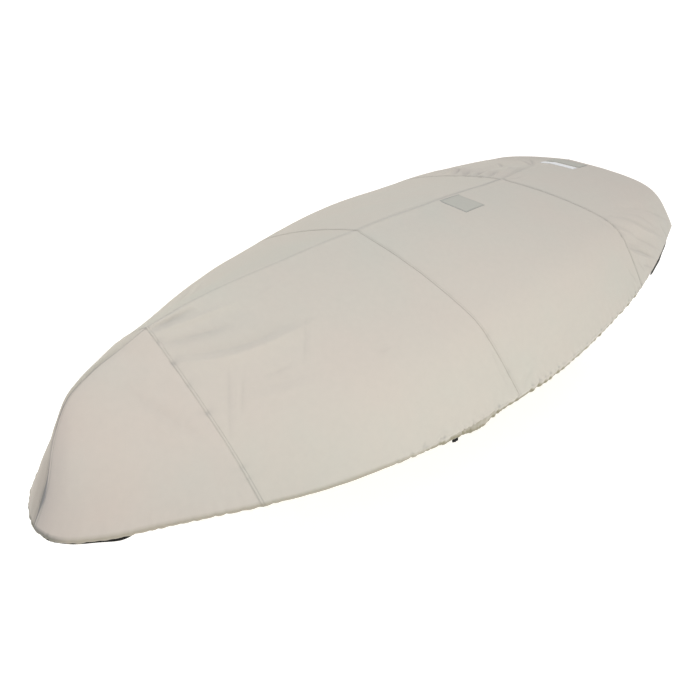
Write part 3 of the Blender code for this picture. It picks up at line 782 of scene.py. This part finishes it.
def cross_panel(name, start, end, material):
    """A panel between two seams, and the lines of its stitches."""
    places = panel_places(start, end, True)
    cloth = cross_cloth(places)
    dress(cloth, (start, end))
    mesh = welded(cloth.moved().reshape(-1, 3), grid_faces(*cloth.shape), cloth.fields())
    return show(name, material, mesh, cloth), rows_near(cloth, places, start)


def skirt_rows(edge):
    """Rows of the cloth over the transom, from the deck's last row down to the hem."""
    bends = plane_curve(SKIRT_EDGE, np.linspace(0, 1, SKIRT_BEND_ROWS + 1)[1:])
    rows = [(aft, down, 0.0) for aft, down in bends]
    rows += [(*SKIRT_EDGE[-1], share) for share in np.linspace(0, 1, SKIRT_FALL_ROWS + 1)[1:]]
    size = np.minimum(1.0, (edge[:, 2] - HEM_Z) / SKIRT_FULL)
    found = []
    for aft, down, share in rows:
        z = edge[:, 2] - down * size
        lean = (aft + SKIRT_LEAN * share) * size
        found.append(np.column_stack([edge[:, 0] + lean, edge[:, 1], z + (HEM_Z - z) * share]))
    return found


def stern_panel(name, material):
    """The panel aft of the last seam with its skirt over the transom, and the lines of its stitches."""
    forward = np.array((-1.0, 0.0, 0.0))
    corners = {side: unit(hem_inwards(TRANSOM, side) + forward) for side in (PORT, STARBOARD)}
    places = panel_places(STERN_SEAM, TRANSOM, False)
    deck = cross_cloth(places, corners)
    inner = slice(LIP_CELLS, -LIP_CELLS)  # a row of the deck without its hems

    edge = deck.grid[-1, inner]
    lines = skirt_rows(edge)
    foot, fallen = lines[-1], len(lines)
    inwards = np.tile(forward, (len(edge), 1))
    inwards[0], inwards[-1] = corners[PORT], corners[STARBOARD]
    lips, _ = lip_points(foot[:, None], inwards[:, None], sag_at(TRANSOM, PORT))
    grid = np.array([edge, *lines, *lips.swapaxes(0, 1)])
    down = lengths(grid[:, COLUMNS[PORT]])[:, None]
    run = np.array([lengths(grid[:, k]) for k in range(grid.shape[1])]).T
    sides = ROW_SIDES[inner]
    # The hem's length runs on from each corner to the middle of the transom.
    ends = {side: HEM_LENGTHS[side][-1] + half_width(TRANSOM, side) for side in (PORT, STARBOARD)}
    hem = np.where(sides == PORT, ends[PORT], ends[STARBOARD]) - abs(edge[:, 1])
    hem = np.minimum(hem, HEM_LENGTHS[PORT][-1] + GATHERED_TRANSOM)
    across = deck.across.reshape(deck.shape)[-1, inner]
    skirt = Cloth(grid, TRANSOM + down, across, run[fallen] - run, hem, 0.0, sides)

    # One normal where the two grids meet.
    deck_end, skirt_start = deck.normal_grid[-1, inner], skirt.normal_grid[0]
    deck_end[:] = skirt_start[:] = unit(deck_end + skirt_start)
    for cloth in (deck, skirt):
        dress(cloth, (STERN_SEAM,))
    deck_points, skirt_points = deck.moved(), skirt.moved()
    skirt_points[0] = deck_points[-1, inner]
    # The skirt's two end columns are the hem's corners.
    for column, corner_row in ((0, deck_points[-1, LIP_CELLS::-1]), (-1, deck_points[-1, -LIP_CELLS - 1 :])):
        skirt_points[: fallen + 1, column] = corner_row[0]
        skirt_points[fallen:, column] = corner_row
    points = np.vstack([deck_points.reshape(-1, 3), skirt_points.reshape(-1, 3)])
    faces = np.vstack([grid_faces(*deck.shape), grid_faces(*skirt.shape, first=len(deck.points))])
    skirt_fields = skirt.fields()
    fields = {key: np.concatenate([values, skirt_fields[key]]) for key, values in deck.fields().items()}
    return show(name, material, welded(points, faces, fields), deck, skirt), rows_near(deck, places, STERN_SEAM)


# ---- bow ----
# The starboard side of the bow is tucked in at the hem by the nose and full above it. Distance from the stem, and
# how far the hem is moved inwards and aft there.
NOSE_HEM = metres((
    (0, 0), (28, 5.5), (54, 10), (77, 12.5), (110, 12), (140, 9), (170, 3), (200, -2.5), (250, -6.5), (290, -9),
    (400, -6), (560, 0),
))
# Level, and how far the cloth above the hem is moved.
NOSE_SIDE = (
    (0.45, 0.0), (0.60, 0.0060), (0.66, 0.0060), (0.72, -0.0015), (0.78, -0.0085), (0.83, -0.0105), (0.92, -0.0060),
    (1.00, 0.0),
)
NOSE_WAY = np.array((0.63, -0.78, 0.0))
NOSE_LOW = 0.84  # level below which the hem's shift fades in
NOSE_AT, NOSE_SPREAD, NOSE_CLEAR = 0.11, 0.10, 0.05  # where the cloth is moved, by distance from the stem
STEM_SHADE = ((0.0, 0.3, 0.5), (0.35, 0.35, 0.9))  # levels, painted shade along the stem there
PINCH_LEVEL, PINCH_SPREAD = 0.86, 0.060  # where the stem's seam is pinched widest
STEM_SINK, STEM_SINK_WIDTH = 0.006, 0.012  # the cloth beside the stem's seam
STEM_BEAD, STEM_BEAD_WIDTH = 0.0016, 0.010  # the cloth folded in under it
STEM_TROUGH, STEM_TROUGH_WIDTH, STEM_LINE_WIDTH = 0.0013, 0.0028, 0.0024  # its stitches


def bow_surface(side, shares, levels):
    """Points of the bow's cloth: shares run from the front seam to the stem, levels from the ridge to the hem."""
    plan, arc = section(FRONT_SEAM, side)
    seam = place(FRONT_SEAM, side * np.interp(levels * arc[-1], arc, plan))
    stem = plane_curve(STEM, levels)
    stem = np.column_stack([stem[:, 0], np.full(len(stem), side * SEWN_GAP / 2), stem[:, 1]])
    curve = HEM_CURVES[side]
    hem_shares = np.interp(FRONT_SEAM, curve[:, 0], HEM_SHARES) * (1 - shares)
    hem = points_at(hem_shares, HEM_SHARES, curve)
    hem = np.column_stack([hem[:, 0], side * hem[:, 1], np.full(len(hem), HEM_Z)])
    c, t = shares[:, None, None], levels[None, :, None]
    chord = seam[None] * (1 - c) + stem[None] * c
    foot = hem[:1, None] * (1 - c) + hem[-1:, None] * c
    size = np.linalg.norm(seam - stem, axis=1) / np.linalg.norm(hem[0] - hem[-1])
    found = chord + (hem[:, None] - foot) * size[None, :, None] * t
    found[:, 0] = stem[0]
    found[..., 1] = side * np.maximum(side * found[..., 1], SEWN_GAP / 2)
    return found, hem[:, 0], arc[-1]


def shape_nose(grid, levels):
    """Move the cloth of the starboard bow panel; rows of the grid run to the stem."""
    away = np.array([lengths(grid[::-1, k])[::-1] for k in range(grid.shape[1])]).T
    shift = through(NOSE_HEM, away) * ramp(levels, NOSE_LOW, 1) ** 2
    shift += through(NOSE_SIDE, levels) * bell(away - NOSE_AT, NOSE_SPREAD) * ramp(away, 0, NOSE_CLEAR)
    return grid + shift[..., None] * NOSE_WAY


def bow_crease(points, rise, left, right, *places):
    """Height of a crease of the port bow panel at the points."""
    line = line_through(places)
    line = np.array([bow_surface(PORT, np.array((0.0, c, 1.0)), np.array((0.0, t, 1.0)))[0][1, 1] for c, t in line])
    near_middle = np.array((0.0, 0.5, 0.52, 1.0))
    middle = bow_surface(PORT, near_middle, near_middle)[0]
    normal = unit(np.cross(middle[1, 2] - middle[1, 1], middle[2, 1] - middle[1, 1]))
    return crease(points, line, normal if normal[1] < 0 else -normal, rise, left, right)


def stem_seam(cloth, side, level, from_stem, away, calm):
    """The seam down the stem: the cloth turns round it and carries a row of stitches beside it; painted shade lies
    along the stem, in its pinch and on the far side beside it.
    """
    pinched = bell(level - PINCH_LEVEL, PINCH_SPREAD)
    stitched = from_stem - STEM_STITCH
    bead = STEM_BEAD * np.exp(-((away / STEM_BEAD_WIDTH) ** 4))
    cloth.height += calm * (bead - STEM_SINK * np.exp(-away / STEM_SINK_WIDTH))
    cloth.height -= calm * STEM_TROUGH * bell(stitched, STEM_TROUGH_WIDTH)
    cloth.soil += (0.05 + 0.06 * level) * bell(stitched, STEM_LINE_WIDTH) * calm
    # Painted shade along the stem, in its pinch and in a broad band beside it.
    cloth.soil += np.interp(level, *STEM_SHADE) * bell(away, STEM_LINE_WIDTH + 0.006 * pinched)
    cloth.soil += 0.3 * pinched * np.exp(-(away / 0.014))
    cloth.soil += 0.10 * ramp(level, 0.45, 0.85) * bell(away, 0.050)
    # Painted shade on the far side beside the stem.
    if side == STARBOARD:
        cloth.shade += 0.26 * bell(away, 0.12) * ramp(level, 0, 0.25)


def bow_panel(name, side, material):
    """One side of the bow, and the line of its stitches beside the stem."""
    # Its mean width sets how far the rows are from the stem.
    probe, _, _ = bow_surface(side, np.linspace(0, 1, 50), np.array((0.0, 0.5, 0.8, 1.0)))
    width = np.mean([lengths(probe[:, k])[-1] for k in (1, 2, 3)])
    near_stem = 1 - np.array(STEM_ROWS[::-1]) / width
    *near_seam, start = NEAR_SEAM
    shares = np.concatenate([near_seam, np.linspace(start, near_stem[0], BOW_ROWS)[:-1], near_stem])
    levels = np.linspace(0, 1, BOW_COLUMNS + 1)
    outer, hem_x, deep = bow_surface(side, shares, levels)
    if side == STARBOARD:
        outer = shape_nose(outer, levels)
    lap_x = FRONT_SEAM + np.array(BOW_LAP)
    laps = []
    for x in lap_x:
        plan, arc = section(x, side)
        laps.append(place(x, side * np.maximum(np.interp(levels * arc[-1], arc, plan), SEWN_GAP / 2)))
    grid = np.concatenate([np.array(laps), outer[1:]])
    # The hem of each row.
    hem_at = np.concatenate([lap_x, hem_x[1:]])
    inwards = np.array([hem_inwards(x, side) for x in hem_at])
    inwards[-1] = (1.0, 0.0, 0.0)
    lips, at = lip_points(grid[:, -1:], inwards[:, None], 0.0)
    grid = np.concatenate([grid, lips], axis=1)

    def turn(values):
        """Rows run aft and columns to starboard in every grid, so those of the starboard panel run down."""
        values = np.broadcast_to(values, (*grid.shape[:2], *values.shape[2:]))
        return values[::-1, ::-1] if side == PORT else values[::-1]

    aft = np.concatenate([lap_x - FRONT_SEAM, -width * shares[1:]])[:, None]
    down = np.concatenate([levels * deep, deep + at])
    drop = np.where(aft > -0.0005, UNDER, UNDER * bell(aft + 0.0005, 0.003))
    hem = hem_length(hem_at, side)[:, None]
    cloth = Cloth(turn(grid), turn(FRONT_SEAM + aft), turn(side * down), turn(deep - down), turn(hem), turn(drop), side)
    # The first column along the ridge takes the normals of the second.
    ridge, beside = (-1, -2) if side == PORT else (0, 1)
    cloth.normal_grid[:, ridge] = cloth.normal_grid[:, beside]

    aft = turn(aft).ravel()
    cloth.height += seam_relief(cloth.across, aft)
    seam_shade(cloth, FRONT_SEAM)
    add_pulls(cloth)
    from_stem = width + aft
    true_width = turn(np.array([lengths(grid[:, k])[-1] for k in range(grid.shape[1])])).ravel()
    away = np.maximum(from_stem, 0) * np.clip(true_width / width, 0.05, 2)
    level = turn(np.clip(down / deep, 0, 1)).ravel()
    stem_seam(cloth, side, level, from_stem, away, np.clip(true_width / 0.15, 0, 1))
    if side == PORT:
        for row in BOW_CREASES:
            cloth.add_crease(bow_crease(cloth.points, *row), max(row[1:3]))
    cloth.add_waves()
    cloth.add_hem()
    points = cloth.moved()
    mesh = welded(points.reshape(-1, 3), grid_faces(*cloth.shape), cloth.fields())
    stitched = int(np.argmin(abs(from_stem.reshape(cloth.shape)[:, 1] - STEM_STITCH)))
    return show(name, material, mesh, cloth), [(points[stitched], grid_normals(points)[stitched])]


# ---- pieces sewn on ----
PATCH_CELL, PATCH_SHEET = 0.0035, 0.0010
PATCH_LEAST = 0.0006  # least height of a patch over the cloth
TRIM_CELL, TRIM_ROWS = 0.006, 6
TRIM_BEVEL = 0.0004
CURL, CURL_WAVES, CURL_OUT = 0.0012, 5, 0.002  # how a strip waves along it, and how far its free edge stands out


def patch_cloth(x_from, x_to, y_from, y_to):
    """The finished cloth over a small rectangle in plan, as points and normals on a grid."""
    xs = np.linspace(x_from, x_to, round((x_to - x_from) / PATCH_CELL) + 1)
    ys = np.linspace(y_from, y_to, round((y_to - y_from) / PATCH_CELL) + 1)
    grid = place(xs[:, None], ys[None])
    rise = grid[..., 2] - through(RIDGE, xs)[:, None]
    across = np.sign(ys)[None] * np.hypot(ys[None], rise)
    cloth = Cloth(grid, xs[:, None], across, 1.0, 0.0, 0.0, np.where(ys > 0, STARBOARD, PORT))
    dress(cloth, SEAMS)
    points = cloth.moved()
    return points, grid_normals(points)


def patch(name, node, rests_on, x_from, x_to, y_from, y_to, rise, inset, finish):
    """A piece sewn flat on the cloth along a row of stitches near its edge; its edge is turned under."""
    points, normals = patch_cloth(x_from, x_to, y_from, y_to)
    rows, columns = points.shape[:2]
    edge = np.minimum.outer(*(np.minimum(np.arange(n), np.arange(n)[::-1]) for n in (rows, columns))) * PATCH_CELL
    # Low at its edge and along the stitches, raised inside them, and a little uneven.
    height = rise * (1 - 0.75 * np.exp(-edge / 0.0014)) - 0.0005 * bell(edge - inset, 0.0018)
    height += 0.0009 * bell(edge - inset * 2.4, 0.004)
    height += 0.0007 * waves(points.reshape(-1, 3), 0.03, 8).reshape(edge.shape)
    top = points + normals * np.maximum(height, PATCH_LEAST)[..., None]
    # Darker at its turned edge and along its stitches.
    soil = 0.55 * np.exp(-edge / 0.0018) + 0.25 * bell(edge - inset, 0.002)
    fields = {"soil": soil.ravel(), "cloth": np.indices((rows, columns, 1)).reshape(3, -1).T * PATCH_CELL}
    piece = thicken(new_mesh(name, top.reshape(-1, 3), grid_faces(rows, columns), fields, finish), PATCH_SHEET)
    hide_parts(node)
    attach(piece, "root")
    k = round(inset / PATCH_CELL)
    i, j = np.arange(k, rows - k), np.arange(k, columns - k)
    loop_i = np.concatenate([0 * j + k, i, 0 * j + rows - 1 - k, i[::-1]])
    loop_j = np.concatenate([j, 0 * i + columns - 1 - k, j[::-1], 0 * i + k])
    return piece, [(top[loop_i, loop_j], normals[loop_i, loop_j])]


def hem_trim(name, node, side, x_from, x_to, fore, aft, deepest, thickness, inset, below, skew, rests_on, finish):
    """A strip on edge, sewn to the underside of the turned hem, that hangs lowest in its middle."""
    ends = hem_length(np.array((x_from, x_to)), side)
    count = max(8, round((ends[1] - ends[0]) / TRIM_CELL))
    levels = np.linspace(0, 1, TRIM_ROWS)
    rows = []
    for k, at in enumerate(np.linspace(*ends, count + 1)):
        x = float(np.interp(at, HEM_LENGTHS[side], HEM_CURVES[side][:, 0]))
        inwards = hem_inwards(x, side)
        edge = np.array((x, side * half_width(x, side), HEM_Z)) + inwards * inset
        edge += (side == STARBOARD) * through(NOSE_HEM, at) * NOSE_WAY
        top = edge - (0, 0, sag_at(x, side) + below)
        depth = fore + (aft - fore) * k / count + deepest * math.sin(math.pi * (k / count) ** skew)
        curl = (CURL * math.sin(CURL_WAVES * math.pi * k / count) + CURL_OUT) * levels**2
        rows.append(top - levels[:, None] * (0, 0, depth) - inwards * curl[:, None])
    grid = np.array(rows)
    if side == PORT:
        grid = grid[:, ::-1]
    run, down = np.repeat(np.arange(count + 1) * TRIM_CELL, TRIM_ROWS), np.tile(levels * deepest, count + 1)
    fields = {"cloth": np.column_stack([run, down, 0 * run])}
    piece = thicken(new_mesh(name, grid.reshape(-1, 3), grid_faces(*grid.shape[:2]), fields, finish), thickness)
    bevel = piece.modifiers.new("edge", "BEVEL")
    bevel.width = TRIM_BEVEL
    bevel.segments = 2
    bevel.limit_method = "ANGLE"
    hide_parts(node)
    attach(piece, "root")
    return piece


# ---- stitching ----
STITCH_PITCH, STITCH_LENGTH, STITCH_WIDTH = 0.0046, 0.0036, 0.0010
STITCH_FLATNESS = 0.7
STITCH_LIFT = 0.0004  # of its middle above the cloth; its ends lie in it
STITCH_RINGS = ((-0.5, 0.35), (-0.25, 1.0), (0.25, 1.0), (0.5, 0.35))  # share of the length, share of the width


def stitches(name, lines, material):
    """Thread lying on the cloth along lines of points, one short closed lozenge a stitch."""
    all_points, all_faces = [], []
    quads = [
        (r * 4 + k, r * 4 + (k + 1) % 4, r * 4 + 4 + (k + 1) % 4, r * 4 + 4 + k) for r in range(3) for k in range(4)
    ]
    quads = np.array(quads + [(3, 2, 1, 0), (12, 13, 14, 15)])
    for points, normals in lines:
        arc = lengths(points)
        at = np.arange(STITCH_PITCH, arc[-1] - STITCH_PITCH, STITCH_PITCH)
        centre = points_at(at, arc, points)
        up = unit(points_at(at, arc, normals))
        run = unit(points_at(at + 0.002, arc, points) - centre)
        across = unit(np.cross(up, run))
        shape = []
        for share, size in STITCH_RINGS:
            lift = STITCH_LIFT if size == 1 else 0.0
            for a, b in ((0, 0.5), (0.5, 0), (0, -0.5), (-0.5, 0)):
                out = across * a * size * STITCH_WIDTH + up * (b * size * STITCH_WIDTH * STITCH_FLATNESS + lift)
                shape.append(centre + run * share * STITCH_LENGTH + out)
        first = sum(len(p) for p in all_points) + np.arange(len(at))[:, None, None] * 16
        all_points.append(np.stack(shape, 1).reshape(-1, 3))
        all_faces.append((first + quads).reshape(-1, 4))
    piece = new_mesh(name, np.vstack(all_points), np.vstack(all_faces), None, material)
    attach(piece, "root")
    return piece


# ---- materials ----
def srgb(*values):
    return tuple(v / 12.92 if v <= 0.04045 else ((v + 0.055) / 1.055) ** 2.4 for v in (x / 255 for x in values))


class Nodes:
    """Short calls for building the nodes of a material or of the world."""

    def __init__(self, owner, shader="Principled BSDF"):
        owner.use_nodes = True
        self.owner, self.tree = owner, owner.node_tree
        self.shader = self.tree.nodes[shader]

    def feed(self, socket, value):
        """Give a socket a constant or a link."""
        if isinstance(value, tuple):
            socket.default_value = (*value, 1.0)
        elif isinstance(value, (int, float)):
            socket.default_value = value
        elif value is not None:
            self.tree.links.new(value, socket)

    def shaded(self, **values):
        """Feed the shader's sockets, with underscores for the spaces in their names."""
        for key, value in values.items():
            self.feed(self.shader.inputs[key.replace("_", " ")], value)
        return self.owner

    def node(self, kind, values=(), **settings):
        """A node with these settings whose sockets are fed by name or number."""
        made = self.tree.nodes.new("ShaderNode" + kind)
        for key, value in settings.items():
            setattr(made, key, value)
        for key, value in dict(values).items():
            self.feed(made.inputs[key], value)
        return made.outputs

    def math(self, operation, *values):
        return self.node("Math", enumerate(values), operation=operation)[0]

    def scaled(self, value, factor, offset=0.0):
        return self.math("MULTIPLY_ADD", value, factor, offset)

    def attribute(self, name):
        return self.node("Attribute", attribute_name=name)["Fac"]

    def noise(self, scale, detail=2.0):
        place = self.node("TexCoord")["Object"]
        return self.node("TexNoise", {"Scale": scale, "Detail": detail, "Vector": place})["Fac"]

    def mix(self, factor, a, b):
        return self.node("Mix", {0: factor, 6: a, 7: b}, data_type="RGBA")[2]

    def weave(self, pitch):
        """Height of a plain weave, from the cloth's own coordinates."""
        place = self.node("Attribute", attribute_name="cloth")["Vector"]
        split = self.node("SeparateXYZ", {0: place})
        sines = [self.math("SINE", self.math("MULTIPLY", split[k], 2 * math.pi / pitch)) for k in (0, 1)]
        return self.math("MULTIPLY", *sines)

    def bump(self, height, strength, distance, under=None):
        values = {"Strength": strength, "Distance": distance, "Height": height, "Normal": under}
        return self.node("Bump", values)["Normal"]


def cloth_material(name, colour, warm, cool, soil, roughness):
    """Woven cloth: its colour drifts a little, takes painted shade and dirt, painted shade at the hem and a painted
    warm light from the mesh, and its threads show close up.
    """
    n = Nodes(bpy.data.materials.new(name))
    base = n.mix(n.scaled(n.noise(2.6, 3.0), 2.4, -0.7), warm, cool)
    base = n.mix(n.scaled(n.noise(16.0, 4.0), 0.5, -0.05), base, colour)
    pinker = tuple(v * k for v, k in zip(colour, (1.03, 0.99, 1.0)))
    # A painted warm light, by height.
    base = n.mix(n.math("MULTIPLY", n.attribute("blush"), 0.5), base, pinker)
    base = n.mix(n.scaled(n.noise(34.0, 6.0), 0.08, -0.02), base, soil)
    weave = n.weave(0.0011)
    base = n.mix(n.scaled(weave, 0.03, 0.015), base, soil)
    # Painted shade and dirt from the mesh, then painted shade in the hem's shade colour.
    shade_and_dirt = n.math("MULTIPLY", n.attribute("soil"), n.scaled(n.noise(60.0), 0.6, 0.7))
    base = n.mix(n.math("MINIMUM", shade_and_dirt, 0.85), base, soil)
    base = n.mix(n.math("MINIMUM", n.attribute("shade"), 1.0), base, HEM_SHADE)
    return n.shaded(
        Base_Color=base,
        Roughness=n.scaled(n.noise(40.0, 3.0), 0.12, roughness - 0.06),
        Specular_IOR_Level=0.25,
        Sheen_Weight=0.15,
        Sheen_Roughness=0.5,
        Normal=n.bump(weave, 0.35, 0.00025, n.bump(n.noise(220.0, 3.0), 0.25, 0.0006)),
    )


def thread_material():
    n = Nodes(bpy.data.materials.new("sewing_thread"))
    colour = srgb(168, 166, 160)
    tone = n.mix(n.scaled(n.noise(300.0), 0.6, 0.1), colour, tuple(0.75 * v for v in colour))
    return n.shaded(Base_Color=tone, Roughness=0.7, Normal=n.bump(n.noise(900.0), 0.4, 0.0003))


def webbing_material():
    """Black webbing: ribs along it, and a little dust."""
    n = Nodes(bpy.data.materials.new("black_webbing_ribbed"))
    ribs = n.weave(0.0022)
    dust = n.math("MULTIPLY", n.scaled(n.noise(45.0, 4.0), 1.6, -0.6), 0.12)
    tone = n.mix(n.scaled(ribs, 0.5, 0.5), srgb(12, 12, 13), srgb(26, 26, 27))
    tone = n.mix(dust, tone, srgb(92, 88, 82))
    return n.shaded(Base_Color=tone, Roughness=0.7, Specular_IOR_Level=0.15, Normal=n.bump(ribs, 0.6, 0.0005))


def label_material():
    """White woven tape with a satin face."""
    n = Nodes(bpy.data.materials.new("white_label_tape"))
    ribs = n.weave(0.0009)
    tone = n.mix(n.scaled(ribs, 0.2, 0.2), srgb(236, 238, 242), srgb(206, 210, 216))
    # Darker at its turned edge and along its stitches.
    tone = n.mix(n.math("MULTIPLY", n.attribute("soil"), 0.7), tone, srgb(150, 152, 154))
    rough = n.scaled(n.noise(80.0), 0.15, 0.38)
    return n.shaded(Base_Color=tone, Roughness=rough, Normal=n.bump(ribs, 0.4, 0.0002))


HEM_SHADE = srgb(132, 128, 108)  # colour of painted shade: of the turned-under hem, a hanging flap and the far side by the stem
# Cloths: name, colour, its warm and cool shades, colour of painted shade and dirt, roughness.
CLOTHS = (
    ("beige_polyester_cloth", (190, 185, 178), (192, 185, 178), (188, 186, 179), (104, 109, 116), 0.82),
    ("bow_polyester_cloth", (191, 185, 178), (193, 184, 177), (189, 186, 180), (104, 109, 116), 0.82),
    ("grey_patch_cloth", (174, 173, 167), (176, 174, 168), (172, 173, 167), (104, 110, 118), 0.75),
)
beige, pink_beige, grey = (
    cloth_material(name, *(srgb(*colour) for colour in colours), roughness) for name, *colours, roughness in CLOTHS
)
thread, white, black = thread_material(), label_material(), webbing_material()

# ---- pieces ----
panels, seam_lines = {}, []
for make_panel, panel_name, *panel_place, panel_cloth in (
    (cross_panel, "front_middle_panel", FRONT_SEAM, MIDDLE_SEAM, beige),
    (cross_panel, "rear_middle_panel", MIDDLE_SEAM, STERN_SEAM, beige),
    (stern_panel, "stern_panel", beige),
    (bow_panel, "bow_panel_port", PORT, pink_beige),
    (bow_panel, "bow_panel_starboard", STARBOARD, pink_beige),
):
    panels[panel_name], lines = make_panel(panel_name, *panel_place, panel_cloth)
    seam_lines += lines
stitches("seam_stitching", seam_lines, thread)

# Patches: name, panel, places along X and across, height, distance of the stitches from the edge.
PATCHES = (
    ("ridge_patch", "rear_middle_panel", 0.722, 0.934, -0.224, -0.044, 0.0022, 0.0070),
    ("transom_patch", "stern_panel", 2.480, 2.650, -0.180, 0.090, 0.0022, 0.0070),
    ("label_strip", "stern_panel", 2.360, 2.450, -0.180, 0.090, 0.0018, 0.0035),
)
patch_lines = []
for patch_name, on_panel, *patch_sizes in PATCHES:
    finish, slot = (white, "white_label") if patch_name == "label_strip" else (grey, "grey_patch")
    patch_piece, lines = patch(patch_name + "_cloth", patch_name, panels[on_panel], *patch_sizes, finish)
    patch_lines += lines
stitches("patch_stitching", patch_lines, thread)

# Webbing and tabs at the hem: name, panel, ends along X, depth at its fore and aft ends, what is added in between,
# thickness, how far in and down from the edge, and 1 where it is deepest in its middle, more where further aft.
TRIM = (
    ("bow_webbing", "bow_panel", -1.861, -1.650, 0.0068, 0.004, 0.012, 0.0018, 0.009, 0.0130, 4.2),
    ("side_tab", "front_middle_panel", -0.424, -0.388, 0.012, 0.012, 0.005, 0.0022, 0.015, 0.0160, 1.0),
    ("stern_webbing", "stern_panel", 1.820, 2.460, 0.016, 0.018, 0.022, 0.0026, 0.002, 0.0040, 1.0),
)
for trim_name, on_panel, *trim_sizes in TRIM:
    for trim_side, side_name in ((PORT, "port"), (STARBOARD, "starboard")):
        node_name = f"{trim_name}_{side_name}"
        sewn_on = panels.get(on_panel) or panels[f"{on_panel}_{side_name}"]
        trim = hem_trim(node_name + "_strip", node_name, trim_side, *trim_sizes, sewn_on, black)

# ---- floor, light and camera ----
FLOOR_Z, FLOOR_HALF = -1.60, 60.0
WORLD_LOW, WORLD_RISE, WORLD_AFT = 0.45, 0.65, -0.16  # brightness at the horizon, and what is added overhead and aft
# Lights: name, location, target, size, power, colour.
LIGHTS = (
    ("key", (-1.2, -4.73, 2.15), (-0.4, -0.4, -0.35), 2.6, 84.0, (0.98, 1.0, 0.84)),
    ("front", (-4.2, -3.6, 2.4), (-0.6, -0.4, -0.35), 2.6, 18.0, (1.0, 0.74, 0.82)),
    ("fill", (0.0, 7.3, 0.4), (0.1, 0.4, -0.35), 3.2, 121.0, (0.97, 1.0, 0.67)),
    ("top", (-0.6, -0.6, 6.5), (0.0, 0.0, 0.0), 3.2, 83.0, (0.60, 0.84, 1.0)),
)
CAMERA_AT = (-2.4574, -1.9577, 1.2203)
CAMERA_AZIMUTH, CAMERA_ELEVATION = -51.0, 31.5  # degrees
FOCAL_PIXELS, IMAGE_PIXELS, SENSOR = 660.0, 700.0, 36.0


def floor():
    n = Nodes(bpy.data.materials.new("pale_floor"))
    white_floor = n.shaded(
        Base_Color=n.mix(n.noise(0.6), (0.96, 0.96, 0.96), (0.95, 0.95, 0.95)),
        Roughness=0.9,
        Specular_IOR_Level=0.1,
        Emission_Color=(1.0, 1.0, 1.0),
        Emission_Strength=0.355,
    )
    corners = [(x * FLOOR_HALF, y * FLOOR_HALF, FLOOR_Z) for x, y in ((-1, -1), (1, -1), (1, 1), (-1, 1))]
    made = new_mesh("studio_floor", corners, [(0, 1, 2, 3)], None, white_floor)


def area_light(name, location, target, size, power, colour):
    data = bpy.data.lights.new(name, "AREA")
    data.shape = "DISK"
    data.size = size
    data.energy = power
    data.color = colour
    made = bpy.data.objects.new(name, data)
    made.location = location
    made.rotation_euler = (Vector(target) - Vector(location)).to_track_quat("-Z", "Y").to_euler()
    made.visible_camera = False
    bpy.context.scene.collection.objects.link(made)


def world_light():
    world = bpy.data.worlds.new("studio")
    bpy.context.scene.world = world
    n = Nodes(world, "Background")
    way = n.node("SeparateXYZ", {0: n.node("TexCoord")["Generated"]})
    strength = n.scaled(n.math("MAXIMUM", way["Z"], 0.0), WORLD_RISE, WORLD_LOW)
    strength = n.scaled(n.math("MAXIMUM", way["X"], 0.0), WORLD_AFT, strength)
    n.shaded(Color=(1.0, 0.955, 0.92), Strength=strength)


def camera():
    data = bpy.data.cameras.new("camera")
    data.sensor_width = SENSOR
    data.lens = SENSOR * FOCAL_PIXELS / IMAGE_PIXELS
    data.clip_start, data.clip_end = 0.05, 300.0
    made = bpy.data.objects.new("camera", data)
    made.location = CAMERA_AT
    made.rotation_euler = (math.radians(90 - CAMERA_ELEVATION), 0.0, math.radians(CAMERA_AZIMUTH))
    bpy.context.scene.collection.objects.link(made)
    bpy.context.scene.camera = made


floor()
world_light()
for light in LIGHTS:
    area_light(*light)
camera()
bpy.context.scene.view_settings.view_transform = "Standard"
